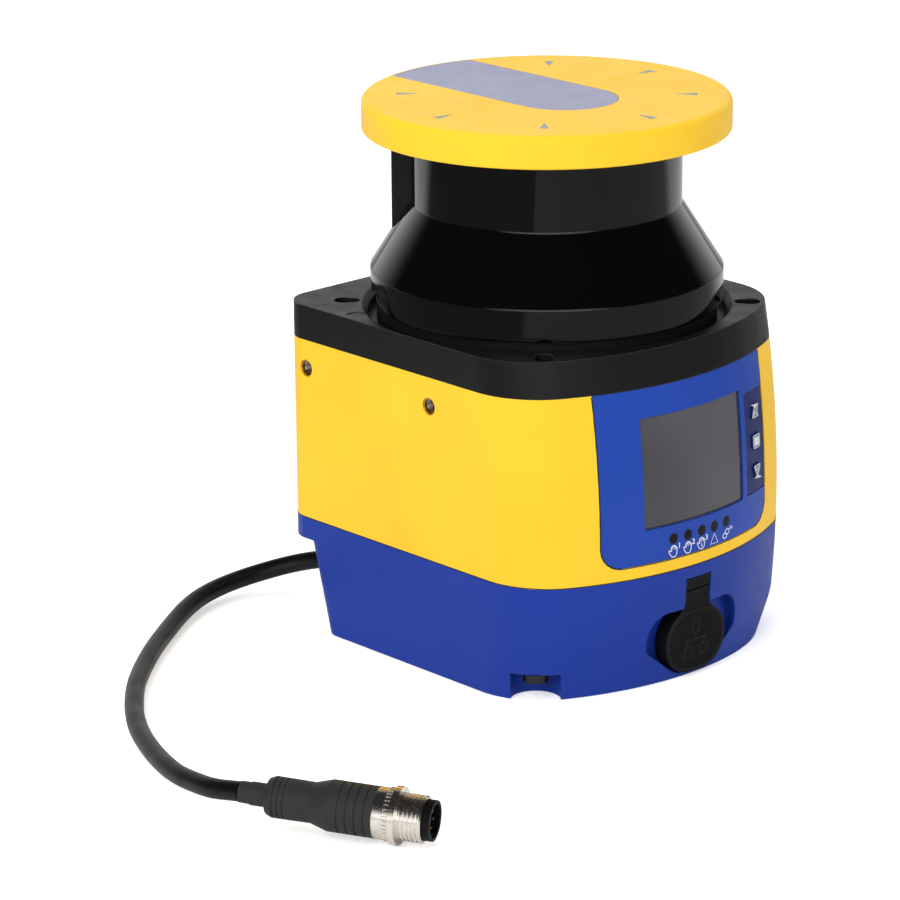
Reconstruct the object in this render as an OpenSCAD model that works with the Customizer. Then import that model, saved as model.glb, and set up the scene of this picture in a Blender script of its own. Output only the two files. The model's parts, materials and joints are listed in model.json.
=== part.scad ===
// Safety laser scanner with a pigtail cable and a round screw connector.
// Origin: middle of the body on its resting face. +Z is up and the display faces -Y.

/* [Body] */
// Width across the flat sides
body_w = 102; // [96:1:130]
// Depth from the front bulge to the rear face
body_d = 112.5; // [108:0.5:140]
// Height of the blue base
base_h = 32.2; // [30:0.1:42]
// Height of the yellow housing
housing_h = 51.8; // [50:0.1:66]
// Thickness of the black collar
collar_h = 9.8; // [8:0.1:14]
// Distance from the scan axis to the rear face
rear_reach = 53.1; // [51.5:0.1:62]
// Wall of the base and the housing
wall = 4; // [3.2:0.1:5]
// Plan radius of the front face
front_r = 85; // [75:1:110]
// Plan radius of the front corners
corner_r = 22; // [14:1:30]
// Plan radius of the rear corners
rear_r = 9; // [5:0.5:12]
// Upright radius of the bulging front
bulge_r = 276; // [220:1:500]
// Height at which the front bulges most
bulge_z = 39.8; // [30:0.1:50]

/* [Base] */
// Height of the rear step under the flange
step_z = 26; // [22:0.5:28]
// Depth of the rear step at the floor
foot_in = 15.3; // [10:0.1:20]
// Lean of the recessed rear face, in degrees
foot_lean = 15.3; // [8:0.1:18]
// Radius of the recessed rear corners
foot_r = 6; // [3:0.5:9]
// Floor thickness of the base
floor_t = 3; // [2.4:0.1:4]
// Height of the screw pockets
pocket_h = 7.4; // [6:0.1:10]
// Radius of the open pocket in the corner
pocket_r = 6.8; // [5.5:0.1:8]
// Cut of the trimmed front corner, at the floor
toe_cut = 3; // [1:0.1:5]

/* [Window and cap] */
// Outer radius of the window skirt
skirt_r = 48.5; // [44:0.1:50]
// Outer radius of the window throat
throat_r = 37; // [34:0.1:40]
// Gap between collar and skirt
skirt_gap = 2; // [1:0.1:4]
// Height of the skirt
skirt_h = 8.8; // [6:0.1:12]
// Height of the conical part
cone_h = 18; // [14:0.1:24]
// Height of the throat
throat_h = 20.5; // [19:0.1:28]
// Wall of the window
window_t = 2; // [1.5:0.1:3]
// Angle that the window covers
scan_angle = 275; // [240:1:285]
// Outer radius of the rear post
post_r = 42.6; // [40:0.1:44]
// Radius of the cap
cap_r = 50.4; // [47:0.1:54]
// Height of the cap
cap_h = 8.9; // [8:0.1:12]
// Rounding of the cap's upper edge
cap_edge = 1.8; // [0.8:0.1:3]
// Half width of the label strip
strip_r = 14.5; // [11:0.1:18]

/* [Front panel] */
// Half width of the panel
panel_w = 31.5; // [29:0.1:34]
// Lower edge of the panel above the base
panel_low = 3.8; // [3.5:0.1:6]
// Thickness of the panel
panel_t = 2.2; // [1.8:0.1:2.6]
// Corner radius of the panel
panel_r = 6; // [3:0.5:9]
// Width of the display cover
cover_w = 37.8; // [34:0.1:39]
// Height of the display cover
cover_h = 30.4; // [28:0.1:31]
// Middle of the display cover above the base
cover_mid = 28.5; // [28:0.1:29]
// Spacing of the keys
key_pitch = 8.5; // [7:0.1:9]
// Size of a key
key_w = 3.8; // [3:0.1:5]
// Travel of a key
key_travel = 0.5; // [0.3:0.05:0.8]
// Spacing of the status lights
light_pitch = 5.1; // [4.5:0.1:5.5]
// Radius of a status light
light_r = 1.5; // [1:0.1:1.9]

/* [Dust cap] */
// Half width of the oval cap
dust_w = 11.3; // [10:0.1:12]
// Half height of the oval cap
dust_h = 8.9; // [8.5:0.1:9.3]
// Height of its middle above the floor
dust_z = 10.3; // [10:0.1:11]
// Thickness of the cap
dust_t = 4.5; // [4:0.1:5]
// Half width of the strap
strap_w = 4.4; // [3.5:0.1:5]
// Upper end of the strap
strap_z = 28.3; // [28:0.1:30]

/* [Fasteners] */
// Thread radius of the side inserts
insert_r = 2.1; // [1.6:0.05:2.6]
// Length of the side inserts
insert_l = 8.5; // [6:0.1:9]
// Spacing of the side inserts
insert_pitch = 50; // [40:1:52]
// Distance of the side inserts below the collar
insert_drop = 8.1; // [7:0.1:12]
// Distance of the collar screws from the scan axis, each way
collar_screw = 39.5; // [38:0.1:41]

/* [Optics] */
// Radius of the spindle
spindle_r = 3; // [2.5:0.1:4]
// Radius of the motor can
motor_r = 25; // [22:0.5:28]
// Radius of the rotating mirror
mirror_r = 16; // [13:0.5:18]
// Radius of the receiver lens
lens_r = 29.8; // [26:0.1:31]

/* [Cable and connector] */
// Diameter of the cable
cable_d = 5.2; // [4.5:0.1:6.5]
// Sideways place of the cable outlet
cable_x = -26.5; // [-30:0.5:10]
// Height of the cable outlet on the rear face
cable_z = 15; // [12:0.5:19]
// Radius of the connector's thread
plug_r = 5.95; // [5.5:0.05:7]
// Length of the thread
plug_l = 6.4; // [5:0.1:10]
// Number of contacts round the middle one
pin_count = 7; // [3:1:7]

/* [Hidden] */

$fn = 72;
eps = 0.05;
far = 200;

// Levels
housing_z = base_h;
collar_z = base_h + housing_h;
plate_z = collar_z + collar_h;
skirt_z = plate_z + skirt_gap;
cone_z = skirt_z + skirt_h;
throat_z = cone_z + cone_h;
cap_z = throat_z + throat_h;
top_z = cap_z + cap_h;

// Plan of the body, on its widest level
front_y = -body_d / 2;
rear_y = body_d / 2;
scan_y = rear_y - rear_reach;
half_w = body_w / 2;
front_c = front_y + front_r;
corner_x = half_w - corner_r;
corner_y = front_c - sqrt(pow(front_r - corner_r, 2) - corner_x * corner_x);
bulge_y = front_y + bulge_r;
back_reach = rear_y + 15;
// Depth of the front face behind its widest point, at a sideways place and a height
function front_at(x, z) = front_y + front_r - sqrt(front_r * front_r - x * x)
    + bulge_r - sqrt(bulge_r * bulge_r - pow(z - bulge_z, 2));

// Clearances
seam = 0.15;
seat = 0.05;
run = 0.03;
key_gap = 0.25;

// Base
foot_y = rear_y - foot_in;
foot_slope = tan(foot_lean);
screw_r = 2;
screw_head_r = 3.4;
screw_head_h = 2.4;
screw_grip = 9;
front_screws = [[-(half_w - 7.5), corner_y - 10.3], [half_w - 12, corner_y - 6]];
rear_screw = [half_w - 10, rear_y - 4.65];
post_rad = 5.5;
rear_post_rad = 4;
pocket_out = 1.3;
bay_w = 22;
seal_t = 1.4;
toe_r = 40;
toe_h = 13;
toe_turn = -42;
corner_lap = 0.1;
arc_lap = 0.02;

// Dust cap and service socket
dust_front = front_at(0, dust_z) - 0.3;
dust_floor = dust_front + dust_t;
recess_y = dust_floor + 0.1;
dust_gap = 0.6;
dust_wall = 0.9;
scoop_w = dust_w + 5.9;
scoop_high = dust_z + dust_h + 1;
scoop_r = 7;
tip_r = 2.5;
strap_t = 2;
strap_top_y = front_at(0, strap_z) + 0.05;
strap_low_y = dust_front + 0.4;
strap_low_z = dust_z + dust_h - 0.8;
strap_gap = 0.4;
strap_groove_y = strap_top_y + (strap_low_y - strap_top_y) * 3.2 / (strap_z - strap_low_z + 4);
socket_r = 6.9;
socket_bore = 5.6;
socket_nose = 2;
socket_back = recess_y + 7.5;
bay_back = recess_y + 6;

// Side inserts and collar screws
insert_z = collar_z - insert_drop;
insert_rear_y = rear_y - 10.35;
insert_ys = [insert_rear_y, insert_rear_y - insert_pitch];
insert_skin = 0.5;
insert_out_r = insert_r + 1.3;
insert_boss_r = insert_out_r + 2;
collar_screws_at = [for (sx = [-1, 1], sy = [-1, 1]) [sx * collar_screw, scan_y + sy * collar_screw]];
collar_screw_r = 1.6;
collar_head_r = 2.5;
collar_head_h = 3;
collar_head_z = plate_z - 4.3;
key_hole_r = 2.8;
key_lobe_r = 2.2;
key_lobe_in = 2.2;

// Collar, window and post
dish_r = 51;
dish_bevel = 1.7;
moat_in = 46.8;
moat_out = dish_r - dish_bevel;
moat_z = plate_z - 4.3;
curb_z = skirt_z - 0.2;
well_r = 43.5;
well_z = plate_z - 3.8;
seal_in = 44.4;
seal_out = 46.2;
seal_sunk = 0.6;
flange_in = 44;
flange_t = 2.5;
side_cut_y = scan_y + 14.2;
side_cut_z = skirt_z + 6;
side_cut_r = 2.5;
post_in = 34;
post_gap = 0.25;
wing_r = skirt_r - window_t - 0.3;
post_half = (360 - scan_angle) / 2 - post_gap;

// Cap
strip_front = 7;
strip_edge = cap_r - cap_edge - 0.2;
strip_t = 0.45;
cap_chamber_r = 32;
cap_chamber_h = 5.4;
cap_groove = [throat_r + 1.5, cap_r - 2.9];
cap_screw_ring = 38.4;
cap_screw_step = 15;
cap_screw_r = 1.5;
cap_screw_head_r = 2.8;
cap_screw_head_h = 2;
cap_screw_grip = 8;

// Panel, display and keys
panel_z = base_h + panel_low;
panel_top = collar_z - 0.1;
cover_z = base_h + cover_mid;
cover_sunk = 0.5;
ledge = 0.9;
key_x = 26.4;
key_z0 = cover_z - 0.7;
key_zs = [key_z0 + key_pitch, key_z0, key_z0 - key_pitch];
key_proud = 0.35;
key_depth = 1.6;
stem_r = 1.5;
band_x = 21.2;
band_half = 14.2;
band_t = 1;
band_sunk = 0.15;
light_x = 0.5;
light_z = panel_z + 5.5;
board_t = 1.6;
dboard_y = front_y + 14.25;
switch_t = 2.5;
stem_end = dboard_y - switch_t - key_travel - 0.15;
dboard_x = [-26, half_w - wall - 14];
dboard_z = [panel_z + 3, collar_z - 4];
dboard_posts = [for (x = [dboard_x[0] + 3, dboard_x[1] - 3], z = [dboard_z[0] + 3, dboard_z[1] - 3]) [x, z]];
lcd_front = front_at(cover_w / 2, cover_z + cover_h / 2) + panel_t + 0.35;
lcd_t = 4.2;

// Boards
board_at = [for (sx = [-1, 1], sy = [-1, 1]) [sx * 30, sy * 25]];
stud_r = 1.4;
io_z = floor_t + 6;
main_z = base_h + 13.8;
boss_r = 3.5;
spacer_r = 2.8;

// Motor, spindle and optics
motor_low = well_z - 24;
motor_flange = 2;
motor_tube_r = 10;
bearing_r = 8;
bearing_h = 5;
rotor_r = 21.5;
bell_z = well_z + 3.5;
disc_z = bell_z + 3.2;
disc_r = 30;
disc_t = 0.8;
mirror_z = disc_z + 19;
mirror_t = 2;
carrier_z = disc_z + disc_t;
lens_z = cap_z - 5.1;
lens_h = 4.3;
holder_r = post_in - 0.1;
laser_r = 5.1;

// Cable route: out of the gland in a wide bend, down to the floor and along it, then up into the connector
gland_l = 7;
foot_at_cable = foot_y + cable_z * foot_slope;
gland_dir = [0, cos(foot_lean), -sin(foot_lean)];
gland_end = [cable_x, foot_at_cable, cable_z] + gland_l * gland_dir;
plug_start = [-156.4, -49.3, 8.75];
plug_turn = -60.5;
plug_tilt = -2;
plug_dir = [cos(plug_tilt) * cos(plug_turn), cos(plug_tilt) * sin(plug_turn), sin(plug_tilt)];
route = [gland_end - 8 * gland_dir, gland_end, [-27.9, 59.9, 11.3], [-30.9, 67.2, 9.6], [-35.4, 72.9, 7.9],
    [-41.4, 77, 6.3], [-48.5, 79.2, 5.2], [-56.2, 79.5, 4.5], [-64.3, 77.9, 4], [-72.4, 74.6, 3.5],
    [-80.5, 69.9, 3], [-88.6, 64.4, 2.8], [-96.7, 58.5, 2.8], [-104.7, 52.1, 2.8], [-112.5, 45.3, 2.8],
    [-120, 38.1, 2.8], [-126.8, 30.3, 2.8], [-133.2, 22.1, 2.8], [-138.9, 13.5, 3], [-143.9, 4.5, 3.4],
    [-148.3, -4.6, 3.9], [-152.2, -13.8, 4.6], [-155.4, -23, 5.4], [-157.2, -31.5, 6.4],
    [-158.2, -40.7, 7.6], plug_start, plug_start + 9 * plug_dir];
cable_sides = 12;

// Places along the connector, from the cable's end
sleeve_l = 6.9;
drum_l = 12.3;
taper_l = 4.5;
grip_l = 12.3;
drum_r = 5.25;
grip_r = 6.5;
lip_r = 7.35;
grip_end = sleeve_l + drum_l + taper_l + grip_l;
collar_l = 2.7;
knurl_l = 1.6;
lip_l = 1.7;
thread_end = grip_end + 0.1 + collar_l + knurl_l + lip_l + plug_l;
insert_end = thread_end + 2.2;
core_r = plug_r - 0.8;

// ---------- shared forms ----------

module rounded_rect(w, h, r) {
    square([w - 2 * r, h], center = true);
    square([w, h - 2 * r], center = true);
    for (sx = [-1, 1], sy = [-1, 1]) translate([sx * (w / 2 - r), sy * (h / 2 - r)]) circle(r = r);
}

// Front of the plan, set in by t, wider than the body behind the corners
module front_plan(t) {
    ray = 2 * [corner_x, corner_y - front_c];
    intersection() {
        translate([0, front_c]) circle(r = front_r - t, $fn = 240);
        polygon([[0, front_c], [-ray.x, front_c + ray.y], [ray.x, front_c + ray.y]]);
    }
    for (s = [-1, 1]) translate([s * corner_x, corner_y]) circle(r = corner_r - t + arc_lap);
    translate([-(half_w + 5), corner_y]) square([2 * (half_w + 5), back_reach - corner_y]);
}

// Outline closed by a rear face with rounded corners, wider than the body ahead of them
module rear_outline(w, y, r) {
    translate([-w - 5, -far]) square([2 * w + 10, y - r + far]);
    translate([-(w - r + corner_lap), -far]) square([2 * (w - r + corner_lap), y + far]);
    for (s = [-1, 1]) translate([s * (w - r + corner_lap), y - r]) circle(r = r);
}

module rear_plan(t) {
    rear_outline(half_w - t, rear_y - t, max(rear_r - t, 1));
}

// The front plan swept upright along the bulge's arc
module bulge(t) {
    translate([0, bulge_y, bulge_z]) rotate([-90, 0, 0]) rotate([0, 90, 0])
        rotate([0, 0, -25]) rotate_extrude(angle = 50, $fn = 180)
            translate([bulge_y, 0]) rotate(90) front_plan(t);
}

// Body form between two levels, set in by t all round
module body(t, low, high) {
    intersection() {
        bulge(t);
        translate([0, 0, low]) linear_extrude(high - low) rear_plan(t);
        translate([-(half_w - t), -far / 2, low - 5]) cube([2 * (half_w - t), far, high - low + 10]);
    }
}

// An outline in X and Z, carried through the front wall
module through_front(depth = 30) {
    translate([0, front_y + depth, 0]) rotate([90, 0, 0]) linear_extrude(depth + 10) children();
}

// The part of an outline that lies between two depths below the front surface
module front_layer(outer, inner) {
    intersection() {
        bulge(outer);
        difference() {
            through_front() children();
            bulge(inner);
        }
    }
}

// Everything of an outline that lies above a depth below the front surface
module front_cut(inner) {
    difference() {
        through_front() children();
        bulge(inner);
    }
}

// Turns a piece built along +Z to point out of the front
module facing_front(x, y, z) {
    translate([x, y, z]) rotate([90, 0, 0]) children();
}

module at_scan(z = 0) {
    translate([0, scan_y, z]) children();
}

module ring(r_out, r_in, h) {
    difference() {
        cylinder(r = r_out, h = h);
        translate([0, 0, -1]) cylinder(r = r_in, h = h + 2);
    }
}

module pan_screw(head_r, head_h, shank_r, length) {
    translate([0, 0, -length]) cylinder(r = shank_r, h = length + eps);
    difference() {
        cylinder(r = head_r, h = head_h);
        translate([0, 0, head_h - 1.4]) cylinder(r = shank_r * 0.95, h = 2, $fn = 6);
    }
}

// ---------- base ----------

// Block whose rear face leans out on the way up
module foot_block(t) {
    translate([0, foot_y - t / cos(foot_lean), 0]) rotate([-foot_lean, 0, 0])
        translate([0, 0, -30]) linear_extrude(110) rear_outline(half_w - t, 0, max(foot_r - t, 1));
}

module oval(grow) {
    h = dust_h + grow;
    w = dust_w + grow;
    translate([-(w - h), -h]) square([2 * (w - h), 2 * h]);
    for (s = [-1, 1]) translate([s * (w - h), 0]) circle(r = h);
}

module strap_profile(gap) {
    polygon([[strap_low_y - gap - (gap > 0 ? 5 : 0), strap_low_z - 4],
        [strap_top_y - (gap > 0 ? 5 : 0), strap_z + gap],
        [strap_top_y + strap_t + gap, strap_z + gap],
        [strap_low_y + strap_t + gap, strap_low_z - 4]]);
}

// Opening round the dust cap: its oval, blended into a finger wing on each side
module recess_outline() {
    a = [dust_w - dust_h, dust_z];
    b = [scoop_w - tip_r, dust_z + 0.7];
    top = [scoop_w - scoop_r, scoop_high - scoop_r];
    turn = atan2(b.y - a.y, b.x - a.x) - acos((dust_h + dust_gap - tip_r) / norm(b - a));
    n = [cos(turn), sin(turn)];
    half = [a + (dust_h + dust_gap - arc_lap) * n, b + (tip_r - arc_lap) * n, [scoop_w, b.y], [scoop_w, top.y],
        [top.x, scoop_high]];
    polygon(concat(half, [for (i = [len(half) - 1:-1:0]) [-half[i].x, half[i].y]]));
    translate([0, dust_z]) oval(dust_gap);
    for (s = [-1, 1]) {
        translate([s * b.x, b.y]) circle(r = tip_r);
        translate([s * top.x, top.y]) circle(r = scoop_r);
    }
}

module base_recess() {
    through_front(recess_y - front_y) {
        recess_outline();
        strap_neck(strap_gap - 0.05);
    }
    rotate([90, 0, 90]) translate([0, 0, -(strap_w + strap_gap)])
        linear_extrude(2 * (strap_w + strap_gap)) strap_profile(strap_gap);
}

module base_posts() {
    for (p = front_screws) translate([p.x, p.y, 0]) cylinder(r = post_rad, h = base_h + 5);
    translate([front_screws[0].x - pocket_out, front_screws[0].y - pocket_out, 0])
        cylinder(r = pocket_r + 1.6, h = pocket_h + 1.6);
}

// Cuts the front corner back towards the floor
module toe_trim() {
    low = corner_r - pow(bulge_z, 2) / (2 * bulge_r) * sin(-toe_turn) - toe_cut;
    high = corner_r - pow(bulge_z - toe_h, 2) / (2 * bulge_r) * sin(-toe_turn);
    tilt = atan((high - low) / toe_h);
    translate([corner_x, corner_y, 0]) rotate(toe_turn) difference() {
        translate([low - 6, -30, -1]) cube([40, 60, toe_h + 8]);
        translate([low - toe_r / cos(tilt), 0, 0]) rotate([0, tilt, 0]) translate([0, 0, -30])
            cylinder(r = toe_r, h = 90, $fn = 160);
    }
}

module base_block() {
    color([0.16, 0.27, 0.63]) difference() {
        body(0, 0, base_h);
        difference() {
            translate([-far / 2, foot_y - 10, -10]) cube([far, 60, step_z + 10]);
            foot_block(0);
        }
        difference() {
            intersection() {
                body(wall, floor_t, base_h + 1);
                foot_block(wall);
            }
            base_posts();
            translate([-bay_w, front_y - 10, 0]) cube([2 * bay_w, bay_back - front_y + 10, base_h + 2]);
            for (p = board_at) translate([p.x, p.y, 0]) cylinder(r = boss_r, h = io_z);
        }
        base_recess();
        facing_front(0, socket_back, dust_z) cylinder(r = socket_r + seat, h = 12);
        facing_front(0, socket_back + 1, dust_z) cylinder(r = socket_r + 2.6, h = 2.5 + seat);
        translate([front_screws[0].x - pocket_out, front_screws[0].y - pocket_out, -1])
            cylinder(r = pocket_r, h = pocket_h + 1);
        translate([front_screws[1].x, front_screws[1].y, -1])
            cylinder(r = screw_head_r + 0.4, h = pocket_h + 1);
        for (p = front_screws) translate([p.x, p.y, 0]) cylinder(r = screw_r + 0.2, h = base_h + 2);
        for (s = [-1, 1]) translate([s * rear_screw.x, rear_screw.y, 0]) {
            cylinder(r = screw_r + 0.2, h = base_h + 2);
            cylinder(r = screw_head_r + 0.4, h = step_z);
        }
        for (p = board_at) translate([p.x, p.y, floor_t + 1]) cylinder(r = stud_r + seat, h = 8);
        at_gland() translate([0, 0, -wall - 3]) cylinder(r = cable_d / 2 + 1.55, h = wall + 4);
        gasket_groove();
        toe_trim();
    }
}

module gasket_groove() {
    translate([0, 0, base_h - 0.6]) gasket_ring(0.05, 1);
}

module gasket_ring(grow, h) {
    difference() {
        body_ring(seal_t - 0.3 - grow, h);
        translate([0, 0, -1]) body_ring(seal_t + 0.3 + grow, h + 2);
    }
}

// Simple plan of the body with its rear closed, for seals
module body_ring(t, h) {
    linear_extrude(h) intersection() {
        front_plan(t);
        rear_plan(t);
        translate([-(half_w - t), -far / 2]) square([2 * (half_w - t), far]);
    }
}

module base_gasket() {
    color([0.08, 0.08, 0.09]) translate([0, 0, base_h - 0.6]) gasket_ring(0, 0.6);
}

module base_screws() {
    color([0.25, 0.25, 0.27]) {
        for (p = front_screws) translate([p.x, p.y, pocket_h]) rotate([180, 0, 0])
            pan_screw(screw_head_r, screw_head_h, screw_r, base_h - pocket_h + screw_grip);
        for (s = [-1, 1]) translate([s * rear_screw.x, rear_screw.y, step_z]) rotate([180, 0, 0])
            pan_screw(screw_head_r, screw_head_h, screw_r, base_h - step_z + screw_grip);
    }
}

// ---------- dust cap and service socket ----------

module dust_cap() {
    color([0.10, 0.10, 0.11]) difference() {
        union() {
            translate([0, dust_floor, dust_z]) rotate([90, 0, 0]) linear_extrude(dust_t) oval(0);
            rotate([90, 0, 90]) translate([0, 0, -strap_w]) linear_extrude(2 * strap_w) strap_profile(0);
            intersection() {
                rotate([90, 0, 90]) translate([0, 0, -far / 2]) linear_extrude(far) strap_profile(0);
                through_front(20) strap_neck(0);
            }
        }
        translate([0, dust_floor + eps, dust_z]) rotate([90, 0, 0])
            linear_extrude(dust_t - 1.5) oval(-dust_wall);
        translate([-far / 2, strap_groove_y, strap_z - 3.2]) rotate([0, 90, 0]) cylinder(r = 0.5, h = far);
    }
}

// Flared root of the strap, between the straight strap and the oval
module strap_neck(gap) {
    r = 5.5;
    a = [dust_w - dust_h, dust_z];
    side = strap_w + r;
    c = [side, a.y + sqrt(pow(r + dust_h - corner_lap, 2) - pow(side - a.x, 2))];
    meet = a + dust_h * (c - a) / norm(c - a);
    difference() {
        translate([-meet.x, meet.y - 0.8]) square([2 * meet.x, c.y - meet.y + 0.8]);
        for (s = [-1, 1]) translate([s * c.x, c.y]) circle(r = r - gap);
    }
}

module service_socket() {
    color([0.72, 0.72, 0.74]) facing_front(0, socket_back, dust_z) difference() {
        union() {
            cylinder(r = socket_r, h = socket_back - recess_y + socket_nose);
            translate([0, 0, -1]) cylinder(r = socket_r + 2.4, h = 2.5);
        }
        translate([0, 0, 1.5]) cylinder(r = socket_bore, h = 20);
        translate([0, 0, -2]) cylinder(r = socket_bore - 1, h = 10);
    }
}

module service_insert() {
    color([0.12, 0.12, 0.13]) facing_front(0, socket_back, dust_z) difference() {
        union() {
            translate([0, 0, 1.5]) cylinder(r = socket_bore - seat, h = 1.5);
            translate([0, 0, -1]) cylinder(r = socket_bore - 1 - seat, h = 3);
            cylinder(r = 4.1, h = socket_back - recess_y + socket_nose - 1);
        }
        for (i = [0:6]) rotate(i * 360 / 7) translate([2.75, 0, 4]) cylinder(r = 0.5, h = 20);
        translate([0, 0, 4]) cylinder(r = 0.5, h = 20);
    }
}

module service_contacts() {
    color([0.83, 0.66, 0.30]) facing_front(0, socket_back + 1, dust_z) {
        for (i = [0:6]) rotate(i * 360 / 7) translate([2.75, 0, -3]) cylinder(r = 0.4, h = 3);
        translate([0, 0, -3]) cylinder(r = 0.4, h = 3);
    }
}

// ---------- housing ----------

module panel_outline(grow) {
    w = panel_w + grow;
    r = panel_r + grow;
    translate([-w, panel_z - grow + r]) square([2 * w, far / 2 - panel_z]);
    translate([-(w - r), panel_z - grow]) square([2 * (w - r), far / 2 - panel_z]);
    for (s = [-1, 1]) translate([s * (w - r), panel_z - grow + r]) circle(r = r);
}

module cover_outline(grow) {
    translate([0, cover_z]) rounded_rect(cover_w + 2 * grow, cover_h + 2 * grow, 0.8);
}

module lights_at() {
    for (i = [-2:2]) translate([light_x + i * light_pitch, light_z]) children();
}

module housing_posts() {
    for (p = front_screws) translate([p.x, p.y, base_h - 1]) {
        cylinder(r = post_rad, h = screw_grip + 4);
        rotate(atan2(p.y, p.x)) translate([0, -2, 0]) cube([16, 4, screw_grip + 4]);
    }
    for (s = [-1, 1]) {
        translate([s * rear_screw.x, rear_screw.y, base_h - 1])
            cylinder(r = rear_post_rad, h = screw_grip + 4);
        for (y = insert_ys) translate([s * half_w, y, insert_z]) rotate([0, -s * 90, 0])
            cylinder(r = insert_boss_r, h = insert_skin + insert_l + 0.5);
    }
    for (p = collar_screws_at) translate([p.x, p.y, collar_z - 14]) cylinder(r = 4.5, h = 15);
    for (p = dboard_posts) translate([p[0], dboard_y, p[1]]) rotate([90, 0, 0]) cylinder(r = 2.2, h = 16);
}

module main_housing() {
    color([1, 0.82, 0.16]) difference() {
        union() {
            difference() {
                body(0, base_h, collar_z);
                body(wall, base_h - 1, collar_z + 1);
            }
            intersection() {
                housing_posts();
                body(panel_t + 1, base_h, collar_z);
            }
        }
        front_cut(panel_t + seat) panel_outline(seam);
        through_front() cover_outline(-ledge);
        for (z = key_zs) facing_front(key_x, dboard_y, z) cylinder(r = stem_r + 0.4, h = 20);
        facing_front(0, dboard_y, 0) linear_extrude(20) lights_at() circle(r = light_r + seat);
        for (s = [-1, 1], y = insert_ys) translate([s * half_w, y, insert_z]) rotate([0, -s * 90, 0]) {
            translate([0, 0, -1]) cylinder(r = insert_r + 0.35, h = 3);
            translate([0, 0, insert_skin]) cylinder(r = insert_out_r + run, h = insert_l + 2);
        }
        for (p = concat(front_screws, [rear_screw, [-rear_screw.x, rear_screw.y]]))
            translate([p.x, p.y, base_h - 1]) cylinder(r = screw_r + run, h = screw_grip + 1.5);
        for (p = collar_screws_at) translate([p.x, p.y, collar_z - 10])
            cylinder(r = collar_screw_r + run, h = 12);
    }
}

module side_inserts() {
    color([0.75, 0.70, 0.55])
        for (s = [-1, 1], y = insert_ys) translate([s * half_w, y, insert_z]) rotate([0, -s * 90, 0])
            translate([0, 0, insert_skin]) ring(insert_out_r, insert_r, insert_l);
}

// ---------- front panel ----------

module front_panel() {
    color([0.16, 0.27, 0.63]) difference() {
        intersection() {
            front_layer(0, panel_t) panel_outline(0);
            translate([-far / 2, -far, 0]) cube([far, far, panel_top]);
        }
        through_front() cover_outline(seam);
        front_cut(band_t + seat) band_outline(seam);
        for (z = key_zs) facing_front(key_x, dboard_y, z) cylinder(r = key_w / 2 + 0.9, h = 20);
        facing_front(0, dboard_y, 0) linear_extrude(20) lights_at() circle(r = light_r + seat);
    }
}

module display_cover() {
    color([0.45, 0.46, 0.48, 0.5]) front_layer(cover_sunk, panel_t) cover_outline(0);
}

module band_outline(grow) {
    translate([band_x - grow, key_z0 - band_half - grow])
        square([panel_w - band_x + (grow > 0 ? 5 : 0), 2 * (band_half + grow)]);
}

// Outlines of the keys: a triangle pointing up, a square and a triangle pointing down
module key_outline(kind, grow) {
    r = 0.5 + grow;
    w = key_w / 2 - 0.5;
    if (kind == 1) rounded_rect(key_w + 2 * grow, key_w + 2 * grow, r);
    else {
        s = kind == 0 ? 1 : -1;
        corners = [[-w, -s * w], [w, -s * w], [0, s * w]];
        run_x = w / sqrt(5) * 2;
        for (p = corners) translate(p) circle(r = r);
        polygon(corners);
        for (i = [0:2]) let (a = corners[i], b = corners[(i + 1) % 3], n = norm(b - a),
            q = [(b - a).y, -(b - a).x] / n * r)
            polygon([a + q, b + q, b - q, a - q]);
    }
}

module button_strip() {
    color([0.15, 0.22, 0.50]) difference() {
        front_layer(band_sunk, band_t) band_outline(0);
        for (i = [0:2]) through_front() translate([key_x, key_zs[i]]) key_outline(i, key_gap);
    }
}

module key_button(i) {
    color([0.20, 0.28, 0.58]) {
        intersection() {
            bulge(-key_proud);
            difference() {
                through_front() translate([key_x, key_zs[i]]) key_outline(i, 0);
                bulge(key_depth);
            }
        }
        intersection() {
            bulge(key_depth - 0.4);
            facing_front(key_x, stem_end, key_zs[i]) cylinder(r = stem_r, h = 20);
        }
    }
}

module up_button() { key_button(0); }
module select_button() { key_button(1); }
module down_button() { key_button(2); }

module status_lights() {
    color([0.12, 0.13, 0.16]) intersection() {
        bulge(0.1);
        facing_front(0, dboard_y - seat, 0) linear_extrude(20) lights_at() circle(r = light_r);
    }
}

module display_module() {
    color([0.30, 0.31, 0.33]) {
        w = cover_w - 2 * ledge - 0.8;
        h = cover_h - 2 * ledge - 0.8;
        translate([-w / 2, lcd_front, cover_z - h / 2]) cube([w, lcd_t, h]);
        translate([-w / 2 + 4, lcd_front + lcd_t - eps, cover_z - h / 2 + 4])
            cube([w - 8, dboard_y - lcd_front - lcd_t + eps, h - 8]);
    }
}

module display_board() {
    color([0.05, 0.35, 0.20]) difference() {
        translate([dboard_x[0], dboard_y, dboard_z[0]])
            cube([dboard_x[1] - dboard_x[0], board_t, dboard_z[1] - dboard_z[0]]);
        for (p = dboard_posts) translate([p[0], dboard_y - 1, p[1]]) rotate([-90, 0, 0])
            cylinder(r = 1.1, h = 5);
    }
}

module key_switches() {
    color([0.20, 0.20, 0.22]) for (z = key_zs) {
        translate([key_x - 3, dboard_y - 1.8, z - 3]) cube([6, 1.8, 6]);
        facing_front(key_x, dboard_y - 1.8 + eps, z) cylinder(r = 1.2, h = switch_t - 1.8 + eps);
    }
}

// ---------- collar, window, post and cap ----------

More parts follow.
